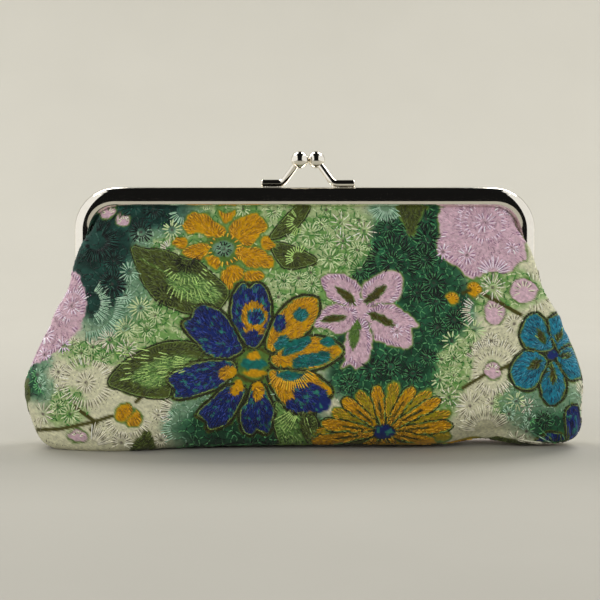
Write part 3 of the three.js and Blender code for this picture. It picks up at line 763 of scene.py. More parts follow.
class Dye:
    """Colours and zones of the print at a set of chart points."""

    def __init__(self, xy):
        wobble = noise_pair(xy, WOBBLE_CELL, seeds=(1, 2))
        self.steady_xy = xy
        self.xy = xy + WOBBLE * wobble
        self.cloud_xy = xy + DRIFT * noise_pair(xy, DRIFT_CELL, seeds=(3, 4)) + CLOUD_WOBBLE * wobble
        self.colour = np.tile(np.array(GROUND[CREAM], float), (len(xy), 1))
        self.zone = np.full(len(xy), CREAM)

    def lay(self, share, colour, zone, where=slice(None)):
        part = self.colour[where]
        self.colour[where] = part + (np.asarray(colour, float) - part) * share[:, None]
        self.zone[where] = np.where(share > 0.5, zone, self.zone[where])

    def cloud(self, zone, x, y, half_x, half_y, fade):
        far = np.hypot((self.cloud_xy[:, 0] - x) / half_x, (self.cloud_xy[:, 1] - y) / half_y)
        self.lay(smooth((1 + fade / 2 - far) / fade), GROUND[zone], zone)

    def near(self, low, high, margin=FORM_MARGIN):
        above, below = self.xy > np.asarray(low) - margin, self.xy < np.asarray(high) + margin
        return np.flatnonzero((above & below).all(1))

    def form(self, zone, edge, points, colour=None):
        outline = closed_curve(points)
        where = self.near(outline.min(0), outline.max(0))
        if not len(where):
            return
        far = outline_distance(self.xy[where], outline)
        if edge > 0:
            rim = SLOT_OLIVE if edge > BUD_EDGE else EDGE_GREEN
            self.lay(covered(far, edge, RIM_SOFT), EDGE_GREEN, LEAF, where)
            self.lay(covered(far, DARK_RIM_SHARE * edge, EDGE_SOFT), rim, OLIVE, where)
            self.lay(covered(far, LIGHT_RIM, EDGE_SOFT), LIGHT_EDGE, LEAF, where)
        base = GROUND[zone] if colour is None else colour
        soft = LEAF_FADE if zone == LEAF and edge == NO_EDGE else EDGE_SOFT
        self.lay(covered(far, 0, soft), base, zone, where)

    def spot(self, tint, x, y, half_x, half_y, turn):
        reach = max(half_x, half_y)
        where = self.near((x - reach, y - reach), (x + reach, y + reach))
        c, s = math.cos(math.radians(turn)), math.sin(math.radians(turn))
        dx, dy = (self.xy[where] - (x, y)).T
        far = np.hypot((dx * c + dy * s) / half_x, (dy * c - dx * s) / half_y)
        self.tinted(tint, covered(far * min(half_x, half_y), min(half_x, half_y), SPOT_SOFT), where)

    def stroke(self, tint, width, points):
        p = np.asarray(points, float)
        where = self.near(p.min(0), p.max(0), STROKE_MARGIN)
        here = (self.xy if width > STEM else self.steady_xy)[where]
        far = np.full(len(where), np.inf)
        for a, b in zip(p[:-1], p[1:]):
            rel, span = here - a, b - a
            t = np.clip(rel @ span / (span @ span), 0, 1)
            thin = width / 2 * (2 * t - 1) ** 2 if width > STEM else 0
            far = np.minimum(far, np.linalg.norm(rel - t[:, None] * span, axis=1) + thin)
        if width > STEM:
            self.tinted(EDGE_GREEN, covered(far, width / 2 + SLOT_RIM, SPOT_SOFT), where)
        self.tinted(tint, covered(far, width / 2, EDGE_SOFT), where)

    def tinted(self, tint, share, where):
        """Lay a zone's colour, or a plain colour that counts as a zone."""
        if isinstance(tint, int):
            self.lay(share, GROUND[tint], tint, where)
        else:
            self.lay(share, tint, TINT_ZONES[tint], where)

    def flecks(self):
        """Green flecks in the blue petals, pale ones in the lace, mottled sky blue and darks, a grain."""
        for zone, tint, cell, seed, least, soft in FLECKS:
            here = self.zone == zone
            share = smooth((value_noise(self.xy[here], cell, seed)[:, None] - least) / soft)
            self.colour[here] = lerp(self.colour[here], np.array(tint, float), share)
        for zones, cell, seed, darkest, spread in MOTTLES:
            here = np.isin(self.zone, zones)
            self.colour[here] *= darkest + spread * value_noise(self.xy[here], cell, seed)[:, None]


def printed(xy):
    """sRGB colour and zone of the print at chart points."""
    dye = Dye(np.asarray(xy, float))
    for row in CLOUDS:
        dye.cloud(*row)
    for row in UNDERLAYS:
        dye.spot(*row)
    for row in FORMS:
        dye.form(*row)
    for x, y, behind in DAISY_PETALS:
        dye.form(GOLD, BUD_EDGE, daisy_petal((x, y)), SHADE_GOLD if behind else None)
    for x, y, behind in DAISY_PETALS:
        if not behind:
            vein = [lerp(np.array(DAISY_CENTRE), np.array((x, y)), t) for t in DAISY_VEIN]
            dye.stroke(SLOT_OLIVE, DAISY_VEIN_WIDTH, vein)
    for row in SPOTS:
        dye.spot(*row)
    for zone, x, y, half_x, half_y in BUDS:
        dye.spot(EDGE_GREEN, x, y, half_x + BUD_RIM, half_y + BUD_RIM, 0)
        dye.spot(zone, x, y, half_x, half_y, 0)
    for row in STROKES:
        dye.stroke(*row)
    dye.flecks()
    return np.clip(dye.colour, 0, 255), dye.zone


# Embroidery: threads of each zone, and the rosettes charted from the photograph

# A thread has the print's colour, pulled towards lit and shaded copies of its zone's thread colour.
# The lit ones add painted highlight to the threads' own lighter colours, the shaded ones painted shade.
LIGHT_THREAD_AND_HIGHLIGHT = {
    CREAM: (240, 236, 212), LACE: (208, 224, 172), TEAL: (112, 190, 120), LILAC: (246, 224, 238),
    GOLD: (240, 184, 44), BLUE: (58, 78, 170), OLIVE: (120, 142, 66), LEAF: (182, 214, 124),
    SKY: (74, 170, 196), MINT: (182, 216, 188), DEEP: (72, 124, 108),
}
DARK_THREAD_AND_SHADE = {
    CREAM: (124, 120, 96), LACE: (72, 134, 56), TEAL: (5, 20, 16), LILAC: (148, 106, 142),
    GOLD: (122, 84, 12), BLUE: (12, 14, 54), OLIVE: (32, 36, 12), LEAF: (58, 84, 34),
    SKY: (12, 62, 90), MINT: (66, 122, 86), DEEP: (8, 24, 22),
}
DYE_JITTER = 0.05

# Threads: widths in mm, height over the cloth, shares of the length at which a thread has its rings
THREAD_WIDTH, BOLD_WIDTH, FINE_WIDTH = 0.62, 0.8, 0.6
NET_WIDTH, FINE_NET_WIDTH = 0.72, 0.62
FILL_WIDTH, GAP_WIDTH = 0.66, 0.55
RISE_SHARE, THREAD_SINK = 0.6, 0.12
TWO_RINGS_FROM = 0.6
TWO_RINGS, ONE_RING = (0.22, 0.78), (0.5,)
SHORTEST, LONGEST, BASE_CLEAR = 0.4, 14.0, 0.9
FINE_THREADS = (CREAM, MINT)
OWN = -1

# Columns of an array of stitches
START, END, WIDTH, TONE, THREAD = slice(0, 2), slice(2, 4), 4, 5, 6

# Wheels: tones of the spokes and of the thin strokes in the gaps between them, in plain and in dark work,
# the needle hole past a spoke's tip, and how uneven the spokes are. In plain work the spokes' lit tone adds
# painted highlight and the gap strokes are painted shade beside them; in dark work the two swap; the needle
# hole is a dot of painted shade.
LIT, SHADED, NEEDLE_HOLE_SHADE = 1.15, -1.15, -1.8
LIT_DARK, SHADED_DARK = -1.3, 0.65
HOLE_FROM, HOLE_TO = 0.5, 1.8
SPOKE_JITTER = 0.18
SPOKE_REACH = (0.86, 1.1)

# Rosettes: x, y, inner and outer radius, spokes, first angle and sweep in degrees, thread's zone or
# OWN for the print's. Angles run from the right, downwards. Teal, deep and olive ones are sewn dark.
ROSETTES = [
    (86, 382.5, 2.5, 13, 17, 0, 360, CREAM), (86, 382.5, 16, 29, 46, 0, 360, CREAM),
    (492.6, 370.5, 14, 22, 30, 100, 330, CREAM), (492.6, 370.5, 23, 33, 30, -150, 120, CREAM),
    (492.6, 370.5, 17, 28, 22, 20, 110, CREAM),
    (484.5, 222, 3, 13, 12, 0, 360, OWN), (484.5, 222, 16, 22, 34, 0, 360, LILAC),
    (484.5, 222, 23, 28, 40, 150, 180, LILAC), (493, 274, 4, 19, 14, 190, 160, LILAC),
    (443, 252, 2, 9, 9, 0, 360, LILAC), (467, 255, 2, 11, 11, 0, 360, LILAC),
    (512, 247, 2, 8, 10, 0, 360, LILAC),
    (72, 306, 3, 10, 12, 0, 360, LILAC), (72, 306, 12, 19, 30, 100, 230, LILAC),
    (45.5, 335, 2, 11, 13, 0, 360, LILAC), (63, 345, 2, 9, 11, 0, 360, LILAC),
    (45, 354.5, 2, 8, 10, 0, 360, LILAC),
    (109.5, 340.3, 2.5, 14, 16, 60, 250, CREAM), (127, 349.6, 2.5, 12, 13, 0, 360, CREAM),
    (43, 414, 2.5, 13, 13, 0, 360, CREAM), (140.5, 308, 2.5, 14, 16, 0, 360, LACE),
    (126, 329, 3, 14, 18, 0, 360, LACE), (70, 414, 3, 11, 14, 0, 360, LACE),
    (128, 415.5, 16, 25, 20, 15, 150, CREAM), (91, 447, 5, 25, 14, -85, 70, CREAM),
    (184, 411, 12, 26, 12, 150, 70, CREAM), (188, 428, 16, 28, 14, 150, 80, MINT),
    (129.5, 272, 2.5, 13, 14, 0, 360, MINT), (87, 303, 12, 26, 24, -60, 120, MINT),
    (87, 303, 27, 42, 30, -10, 100, MINT), (97, 241, 7, 24, 44, 0, 360, DEEP),
    (141, 232, 3, 13, 18, 0, 360, DEEP), (112, 284, 4, 17, 26, 0, 360, DEEP),
    (120, 214, 3, 12, 16, 0, 360, DEEP), (172, 230, 3, 11, 14, 0, 360, LACE),
    (170, 250, 3, 12, 12, 200, 150, CREAM), (183, 211, 5, 16, 16, 20, 150, MINT),
    (187, 260, 4, 15, 22, -10, 200, OLIVE), (187, 260, 17, 27, 14, 30, 120, LEAF),
    (164, 296, 3, 13, 14, 0, 360, OLIVE),
    (224, 249, 3, 9, 12, 0, 360, TEAL), (224, 249, 12, 18, 19, 0, 360, GOLD),
    (386, 205, 5, 19, 21, 10, 160, MINT), (392, 262, 4, 14, 18, 0, 360, TEAL),
    (392, 262, 16, 28, 34, 150, 240, TEAL), (427, 239, 3, 15, 15, 0, 360, TEAL),
    (426, 219, 3, 12, 12, 0, 360, TEAL), (434, 283, 3, 14, 16, 0, 360, TEAL),
    (417, 293, 3, 12, 13, 0, 360, TEAL), (436, 301, 3, 13, 14, 0, 360, TEAL),
    (372, 369, 3, 13, 14, 0, 360, TEAL), (408, 232, 3, 12, 12, 0, 360, TEAL),
    (341, 223, 3, 13, 8, 0, 360, CREAM), (364, 231, 3, 14, 11, 0, 360, CREAM),
    (359, 220, 2, 7, 8, 0, 360, LACE), (343, 241, 2.5, 10, 8, 0, 360, CREAM),
    (330, 259, 3, 12, 12, 0, 360, LACE), (310, 234, 5, 13, 16, 0, 360, LACE),
    (243, 209, 2, 8, 9, 0, 360, LACE), (287, 236, 2, 8, 9, 0, 360, LACE),
    (492.6, 287.5, 3, 15, 16, 0, 360, CREAM), (474, 330, 3, 13, 10, 0, 360, LACE),
    (452, 341, 3, 12, 10, 0, 360, LACE), (514, 324, 3, 11, 13, 90, 250, CREAM),
    (449, 397, 2.5, 12, 8, 0, 360, CREAM), (470, 406, 3, 18, 16, 60, 250, CREAM),
    (516, 401, 2.5, 11, 11, 0, 360, LACE), (485.5, 431, 9, 28, 26, 185, 150, CREAM),
    (527, 406, 2, 9, 10, 0, 360, CREAM), (439.5, 380, 2.5, 10, 10, 0, 360, LACE),
    (480, 311, 8, 20, 16, 130, 130, CREAM), (397, 331, 2, 8, 10, 0, 360, LILAC),
    (535, 291, 12, 22, 16, -110, 200, CREAM), (220, 415, 6, 24, 22, 120, 120, TEAL),
    (290, 362, 17, 31, 22, 28, 112, GOLD),
    (204, 364, 18, 32, 7, 160, 36, LEAF), (204, 364, 36, 50, 9, 162, 32, LEAF),
    (204, 364, 54, 68, 9, 164, 28, LEAF), (204, 364, 72, 84, 7, 167, 20, LEAF),
    (187, 260, 29, 42, 14, 40, 80, LEAF), (302, 404, 10, 34, 14, 70, 80, LEAF),
    (300, 222, 5, 16, 12, 90, 150, LEAF), (298, 258, 4, 14, 12, 150, 150, LEAF),
]
SEWN_DARK = (TEAL, OLIVE, DEEP)
FLOWER_CENTRES = np.array([
    (223.6, 249), (253.5, 363.5), (361, 308), (553, 355), (484.5, 222), (60, 312), DAISY_CENTRE,
])
GROUND_ZONES = (CREAM, LACE, TEAL, MINT, DEEP)
PETAL_ZONES = (GOLD, LILAC, BLUE, SKY)
LEAF_ZONES = (OLIVE, LEAF)

# Strokes of a kind are fainter or stronger by this share
TONE_SPREAD = (0.5, 1.2)

# Stars between the charted rosettes: reach in each zone, hole, spokes for each pixel of reach, the share
# of two stars' reaches that parts them, the share of reach that has to lie on ground, and the largest
# hole of a charted rosette that has an eyelet
STAR_TRIES = 4200
STAR_REACH = {CREAM: (7, 13), LACE: (6, 10), TEAL: (10, 17), MINT: (7, 13), DEEP: (10, 16)}
STAR_INNER, STAR_SPOKES, STAR_LEAST_SPOKES = 2.2, 1.4, 3
STAR_SPACING, STAR_CLEAR = 0.7, 0.8
STAR_PROBES = np.linspace(0, 2 * math.pi, 8, endpoint=False)
CREAM_STARS_LEFT_OUT = 0.5
LARGEST_EYELET = 4

# Net: how much of it each zone has, its two tones there, which mix the net thread's own colour with painted
# highlight and shade, how often the first, and how crooked it lies
NET_CELL = 4.2
NET_SHARES = {LACE: 0.95, TEAL: 0.9, MINT: 0.7, CREAM: 0.05, DEEP: 0.7}
NET_TONES = {
    LACE: (-1.3, 1.1), TEAL: (0.75, -0.8), MINT: (0.7, -0.7), CREAM: (0.9, -0.7), DEEP: (-0.9, 0.5),
}
NET_FIRST_TONE = 0.6
NET_CROOK_CELL, NET_CROOK = 4.5, 6.0

# Strokes along the rim of a form: light and dark tone, taken in turn as painted highlight and shade, step,
# start and length, and the noise that leaves some stretches bare
RIM_TONES = {
    GOLD: (1.1, -0.7), LILAC: (1.1, -0.9), BLUE: (0.25, -0.7), SKY: (0.6, -0.5), OLIVE: (0.5, -0.7),
    LEAF: (0.7, -0.6),
}
RIM_STEP, RIM_LENGTH = 1.7, (3.5, 7.5)
RIM_START, GOLD_RIM_START = (0.2, 1.4), (-1.4, 1.4)
RIM_PATCH, RIM_BARE = 14, 0.35

# Short fill inside a form: strongest tone, taken lighter and darker at random as painted highlight and
# shade, chart area for each stroke, half length, lean, and how far inside the outline it stays
FILL_TONES = {GOLD: 0.6, LILAC: 0.32, BLUE: 0.9, SKY: 0.9, OLIVE: 0.8, LEAF: 1.1}
FILL_FAINTEST = 0.1
FILL_SPACING = {GOLD: 6, LILAC: 16, BLUE: 6, SKY: 6, OLIVE: 6, LEAF: 6}
FILL_HALF, FILL_LEAN, FILL_INSET = (1.8, 3.6), 0.25, 2.2

# Rows of stitches that outline a form: offset, offset as a share of its edge, tone, thread
OUTLINE_ROWS = [(0.4, 0, 0.4, LEAF), (0, 0.45, -0.9, OLIVE), (0, 0.75, -0.8, OLIVE)]
OUTLINE_STEP, OUTLINE_JITTER, OUTLINE_LAP = 2.4, 0.25, 0.2

# Half wheels on the buds: spokes, hole as a share of the reach, and first angle
BUD_SPOKES, BUD_INNER, BUD_TURN = 7, 0.3, (150, 210)


def by_zone(table, zone, missing=None):
    """A table's entry for each zone in an array."""
    return np.array([table.get(z, missing) for z in range(len(GROUND))], float)[zone]


class Embroidery:
    """Stitches in chart pixels: start, end, width in mm, tone and the thread's zone."""

    def __init__(self):
        self.rows = []

    def sew(self, start, end, width, tone, thread=OWN):
        n = len(start)
        columns = [np.broadcast_to(value, n) for value in (width, tone, thread)]
        self.rows.append(np.column_stack([start, end, *columns]))

    def stitches(self):
        return np.concatenate(self.rows)


def spokes(x, y, inner, outer, count, first, sweep, turn=0.0):
    """Starts and ends of stitches set like the spokes of a wheel, turned by a share of their step."""
    step = sweep / (count if sweep >= 360 else max(count - 1, 1))
    angle = np.radians(first + step * (np.arange(count) + turn + random.normal(0, SPOKE_JITTER, count)))
    ray = np.stack([np.cos(angle), np.sin(angle)], -1)
    reach = outer * random.uniform(*SPOKE_REACH, count)
    return (x, y) + ray * inner, (x, y) + ray * reach[:, None]


def sew_wheel(work, wheel, width, thread, zone):
    """Spokes of thread, thin strokes in the opposite tone between them as painted shade (painted highlight
    in dark work), and a needle hole's dot of painted shade at each tip.
    """
    lit, shaded = (LIT_DARK, SHADED_DARK) if zone in SEWN_DARK else (LIT, SHADED)
    start, end = spokes(*wheel)
    work.sew(start, end, width, lit, thread)
    past = unit(end - start)
    work.sew(end + HOLE_FROM * past, end + HOLE_TO * past, GAP_WIDTH, NEEDLE_HOLE_SHADE, thread)
    work.sew(*spokes(*wheel, turn=0.5), GAP_WIDTH, shaded, thread)


def charted_rosettes(work):
    zones = printed(np.array([row[:2] for row in ROSETTES]))[1]
    for row, zone in zip(ROSETTES, zones):
        thread = row[-1]
        width = FINE_WIDTH if thread in FINE_THREADS else BOLD_WIDTH
        sew_wheel(work, row[:-1], width, thread, zone if thread == OWN else thread)


def scattered_stars(work, low, high):
    """Small stars and fans between the charted ones, of the kind the ground there has."""
    taken = [(row[0], row[1], row[3]) for row in ROSETTES]
    eyelets = [(row[0], row[1]) for row in ROSETTES if row[2] <= LARGEST_EYELET]
    tries = random.uniform(low, high, (STAR_TRIES, 2))
    zones = printed(tries)[1]
    reach = random.uniform(*by_zone(STAR_REACH, zones, (0, 0)).T)
    rays = np.stack([np.cos(STAR_PROBES), np.sin(STAR_PROBES)], -1)
    ring = tries[:, None] + STAR_CLEAR * reach[:, None, None] * rays
    clear = np.isin(printed(ring.reshape(-1, 2))[1], GROUND_ZONES).reshape(STAR_TRIES, -1).all(1)
    for (x, y), zone, outer, free in zip(tries, zones, reach, clear):
        if outer == 0 or not free or (zone == CREAM and random.random() < CREAM_STARS_LEFT_OUT):
            continue
        if any(math.hypot(x - a, y - b) < STAR_SPACING * (outer + r) for a, b, r in taken):
            continue
        taken.append((x, y, outer))
        eyelets.append((x, y))
        count = int(outer * STAR_SPOKES) + STAR_LEAST_SPOKES
        wheel = (x, y, STAR_INNER, outer, count, random.uniform(0, 360), 360)
        sew_wheel(work, wheel, THREAD_WIDTH, OWN, zone)
    return np.array(eyelets)


def net(work, low, high):
    """Crooked honeycomb of fine thread over the lace and the dark clouds."""
    wide, tall = NET_CELL * math.sqrt(3), NET_CELL * 1.5
    rows = np.arange(int((high[1] - low[1]) / tall))
    columns = np.arange(int((high[0] - low[0]) / wide))
    q, r = (a.ravel() for a in np.meshgrid(columns, rows))
    centre = np.stack([low[0] + wide * (q + 0.5 * (r % 2)), low[1] + tall * r], -1)
    corner = [centre + NET_CELL * np.array([math.sin(a), math.cos(a)]) for a in np.arange(4) * math.pi / 3]
    start, end = np.concatenate(corner[:3]), np.concatenate(corner[1:])
    start, end = (p + NET_CROOK * noise_pair(p, NET_CROOK_CELL, seeds=(11, 12)) for p in (start, end))
    zone = printed((start + end) / 2)[1]
    tones = by_zone(NET_TONES, zone, (0, 0))
    kept = random.random(len(start)) < by_zone(NET_SHARES, zone, 0)
    tone = np.where(random.random(len(start)) < NET_FIRST_TONE, tones[:, 0], tones[:, 1])
    tone = tone * random.uniform(*TONE_SPREAD, len(tone))
    width = np.where(np.isin(zone, (TEAL, DEEP)), FINE_NET_WIDTH, NET_WIDTH)
    work.sew(start[kept], end[kept], width[kept], tone[kept])


class Form:
    """A printed form to be sewn: its outline, its middle and the way its stitches run."""

    def __init__(self, zone, edge, points):
        self.zone, self.edge = zone, edge
        self.outline = closed_curve(points, steps=8)
        self.centre = self.outline.mean(0)
        self.focus = FLOWER_CENTRES[np.linalg.norm(FLOWER_CENTRES - self.centre, axis=1).argmin()]
        self.leafy = zone in LEAF_ZONES

    def along(self, step):
        """Points of the outline, a step apart."""
        looped = np.vstack([self.outline, self.outline[:1]])
        run = np.concatenate([[0], np.cumsum(np.linalg.norm(np.diff(looped, axis=0), axis=1))])
        at = np.arange(0, run[-1], step)
        return np.stack([np.interp(at, run, looped[:, k]) for k in (0, 1)], -1)

    def inward(self, p):
        """Directions to the form's middle, or half way between that and its flower's."""
        return unit(self.centre - p if self.leafy else 0.5 * (self.focus - p) + 0.5 * (self.centre - p))

    def sew_rim(self, work):
        """Satin strokes from the rim inwards, lit and shaded in turn: painted highlight and shade."""
        rim = self.along(RIM_STEP)
        ray = self.inward(rim)
        first = GOLD_RIM_START if self.zone == GOLD else RIM_START
        start = rim + ray * random.uniform(*first, (len(rim), 1))
        end = start + ray * random.uniform(*RIM_LENGTH, (len(rim), 1))
        tone = np.where(np.arange(len(rim)) % 2, *RIM_TONES[self.zone])
        tone = tone * random.uniform(*TONE_SPREAD, len(rim))
        kept = value_noise(rim, RIM_PATCH, seed=13) > RIM_BARE
        work.sew(start[kept], end[kept], THREAD_WIDTH, tone[kept], self.zone)

    def sew_fill(self, work):
        """Short strokes scattered inside: along a leaf, or towards the middle of a flower."""
        low, high = self.outline.min(0), self.outline.max(0)
        count = int(np.prod(high - low) / FILL_SPACING[self.zone])
        seeds = random.uniform(low, high, (count, 2))
        seeds = seeds[outline_distance(seeds, self.outline) < -FILL_INSET]
        spread = self.outline - self.centre
        axis = np.linalg.eigh(spread.T @ spread)[1][:, 1]
        ray = np.tile(axis, (len(seeds), 1)) if self.leafy else self.inward(seeds)
        lean = random.normal(0, FILL_LEAN, len(seeds))
        ray = np.stack([ray[:, 0] * np.cos(lean) - ray[:, 1] * np.sin(lean),
                        ray[:, 0] * np.sin(lean) + ray[:, 1] * np.cos(lean)], -1)
        half = ray * random.uniform(*FILL_HALF, (len(seeds), 1))
        sign = random.choice((-1, 1), len(seeds))
        # Light and dark strokes at random: painted highlight and shade
        tone = sign * random.uniform(FILL_FAINTEST, FILL_TONES[self.zone], len(seeds))
        work.sew(seeds - half, seeds + half, FILL_WIDTH, tone)

    def sew_outline(self, work):
        """Rows of back stitch round the form."""
        path = self.along(OUTLINE_STEP)
        step = np.roll(path, -1, axis=0) - path
        side = unit(np.stack([step[:, 1], -step[:, 0]], -1))
        out = side if outline_distance(path[:1] + side[:1], self.outline)[0] > 0 else -side
        for offset, share, tone, thread in OUTLINE_ROWS:
            reach = offset + share * self.edge + random.normal(0, OUTLINE_JITTER, (len(path), 1))
            shifted = path + out * reach
            lap = OUTLINE_LAP * step
            work.sew(shifted - lap, shifted + step + lap, THREAD_WIDTH, tone, thread)


def sew_form(work, zone, edge, points):
    form = Form(zone, edge, points)
    form.sew_rim(work)
    form.sew_fill(work)
    if edge > BUD_EDGE:
        form.sew_outline(work)


def embroider(low, high):
    """All stitches of the chart as ground work and flower work, and the eyelets."""
    ground, flowers = Embroidery(), Embroidery()
    charted_rosettes(ground)
    eyelets = scattered_stars(ground, low, high)
    net(ground, low, high)
    for row in FORMS:
        sew_form(flowers, *row)
    for x, y, behind in DAISY_PETALS:
        sew_form(flowers, GOLD, NO_EDGE if behind else DAISY_EDGE, daisy_petal((x, y)))
    for zone, x, y, half_x, half_y in BUDS:
        reach = min(half_x, half_y)
        wheel = (x, y, BUD_INNER * reach, reach, BUD_SPOKES, random.uniform(*BUD_TURN), 180)
        sew_wheel(flowers, wheel, THREAD_WIDTH, CREAM if zone == LILAC else zone, zone)
    return on_ground(ground.stitches()), on_own_form(flowers.stitches()), eyelets


def print_and_thread(stitches):
    """The print's colour and zone under the middle of each stitch, and the stitch's thread."""
    return *printed((stitches[:, START] + stitches[:, END]) / 2), stitches[:, THREAD].astype(int)


def on_ground(stitches):
    """The stitches without those in a ground thread that stray onto a printed form."""
    _, zone, thread = print_and_thread(stitches)
    return stitches[~np.isin(thread, GROUND_ZONES) | np.isin(zone, GROUND_ZONES)]


def on_own_form(stitches):
    """The stitches without those of one form that stray onto another."""
    _, zone, thread = print_and_thread(stitches)
    strays = np.isin(thread, PETAL_ZONES) & (zone != thread)
    strays |= np.isin(thread, LEAF_ZONES) & np.isin(zone, PETAL_ZONES)
    return stitches[~strays]


def thread_colours(stitches):
    """Linear colours: the print's under the stitch, pulled to the zone's lit thread colour with its painted
    highlight, or to its shaded one with its painted shade.
    """
    colour, zone, thread = print_and_thread(stitches)
    zone = np.where(thread == OWN, zone, thread)
    tone = stitches[:, TONE][:, None]
    lighter = lerp(colour, by_zone(LIGHT_THREAD_AND_HIGHLIGHT, zone), tone)
    darker = lerp(colour, by_zone(DARK_THREAD_AND_SHADE, zone), -tone)
    uneven = random.normal(1, DYE_JITTER, (len(stitches), 1))
    return linear(np.clip(np.where(tone > 0, lighter, darker) * uneven, 0, 255))


# Meshes

# Strips of the UV square for the inside and the outside of a cloth, and places in a stitch's cell of it
INNER_UV, OUTER_UV = (0, 0.07), (0.08, 1)
CELL_LOW, CELL_MIDDLE, CELL_HIGH = 0.1, 0.5, 0.9

# Stitches are left out from this far inside the frame's lip, and down to this far below its arms
LIP_MARGIN, ARM_MARGIN = 0.4, 3


def add_mesh(name, points, faces, material):
    """A new object from points in the design's millimetres and faces of three or four corners."""
    mesh = bpy.data.meshes.new(name)
    mesh.vertices.add(len(points))
    mesh.vertices.foreach_set("co", ((points + SHIFT) * MM).astype(np.float32).ravel())
    loops = np.concatenate([np.asarray(f, np.int32).ravel() for f in faces])
    sizes = np.concatenate([np.full(len(f), np.asarray(f).shape[1], np.int32) for f in faces])
    mesh.loops.add(len(loops))
    mesh.loops.foreach_set("vertex_index", loops)
    mesh.polygons.add(len(sizes))
    starts = np.concatenate([[0], np.cumsum(sizes)[:-1]])
    mesh.polygons.foreach_set("loop_start", starts.astype(np.int32))
    mesh.polygons.foreach_set("use_smooth", np.full(len(sizes), True))
    mesh.update(calc_edges=True)
    mesh.validate()
    mesh.materials.append(material)
    made = bpy.data.objects.new(name, mesh)
    bpy.context.scene.collection.objects.link(made)
    return made


def paint(piece, name, colours):
    layer = piece.data.color_attributes.new(name, "FLOAT_COLOR", "POINT")
    rgba = np.column_stack([colours, np.ones(len(colours))]).astype(np.float32)
    layer.data.foreach_set("color", rgba.ravel())


def unwrap(piece, uv_of_point):
    """A UV map named OFBake, from a UV place for each point."""
    layer = piece.data.uv_layers.new(name="OFBake")
    index = np.empty(len(piece.data.loops), np.int32)
    piece.data.loops.foreach_get("vertex_index", index)
    layer.data.foreach_set("uv", uv_of_point[index].astype(np.float32).ravel())


def uv_grid(rows, columns, strip):
    u, v = np.meshgrid(np.linspace(0, 1, columns), np.linspace(*strip, rows))
    return np.stack([u.ravel(), v.ravel()], -1)


def quads(rows, columns, first=0):
    i, j = (a.ravel() for a in np.meshgrid(np.arange(rows - 1), np.arange(columns - 1), indexing="ij"))
    a = first + i * columns + j
    return np.stack([a, a + columns, a + columns + 1, a + 1], -1)


def rim_faces(fine, coarse):
    """Triangles between a fine border and a coarse one with a point for every INNER_STEP."""
    faces = []
    for k in range(len(coarse) - 1):
        run = fine[k * INNER_STEP : (k + 1) * INNER_STEP + 1]
        half = INNER_STEP // 2
        for n in range(INNER_STEP):
            faces.append((run[n], run[n + 1], coarse[k] if n < half else coarse[k + 1]))
        faces.append((coarse[k], run[half], coarse[k + 1]))
    return faces


def cloth_piece(name, panel, colours, material):
    """The cloth as a closed wall: fine printed outside, plain coarse inside, a rim between."""
    rows, columns = panel.rows, panel.columns
    inner = panel.offset(-WALL / 2)[::INNER_STEP, ::INNER_STEP]
    in_rows, in_columns = inner.shape[:2]
    points = np.concatenate([panel.outer.reshape(-1, 3), inner.reshape(-1, 3)])
    outside = quads(rows, columns)
    inside = quads(in_rows, in_columns, rows * columns)[:, ::-1]
    fine = np.arange(rows * columns).reshape(rows, columns)
    coarse = rows * columns + np.arange(in_rows * in_columns).reshape(in_rows, in_columns)
    rim = []
    for outer_edge, inner_edge in (
        (fine[0], coarse[0]),
        (fine[:, -1], coarse[:, -1]),
        (fine[-1, ::-1], coarse[-1, ::-1]),
        (fine[::-1, 0], coarse[::-1, 0]),
    ):
        rim += rim_faces(outer_edge, inner_edge)
    faces = [outside, inside, np.array(rim)]
    if panel.front == BACK:
        faces = [f[:, ::-1] for f in faces]
    piece = add_mesh(name, points, faces, material)
    plain = np.tile(linear(GROUND[CREAM]), (in_rows * in_columns, 1))
    paint(piece, "print", np.concatenate([colours, plain]))
    unwrap(piece, np.concatenate([uv_grid(rows, columns, OUTER_UV), uv_grid(in_rows, in_columns, INNER_UV)]))
    return piece


def spindles(a, b, normal, bow, width, rings):
    """Closed threads from a to b: a tip, three-sided rings at shares of the length, and a tip."""
    side = np.cross(normal, unit(b - a)) * width / 2
    rise, sink = normal * width * RISE_SHARE, normal * THREAD_SINK
    columns = [a - sink]
    for t in rings:
        centre = lerp(a, b, t) + normal * bow * 4 * t * (1 - t)
        columns += [centre + rise, centre + side - sink, centre - side - sink]
    points = np.stack([*columns, b - sink], 1)
    last = 3 * len(rings) + 1
    pattern = []
    for k in range(3):
        n = (k + 1) % 3
        pattern += [(0, 1 + n, 1 + k), (last - 3 + k, last - 3 + n, last)]
        for near in range(1, last - 3, 3):
            far = near + 3
            pattern += [(near + k, near + n, far + n), (near + k, far + n, far + k)]
    faces = (np.arange(len(a)) * (last + 1))[:, None, None] + np.array(pattern)
    return points.reshape(-1, 3), faces.reshape(-1, 3)


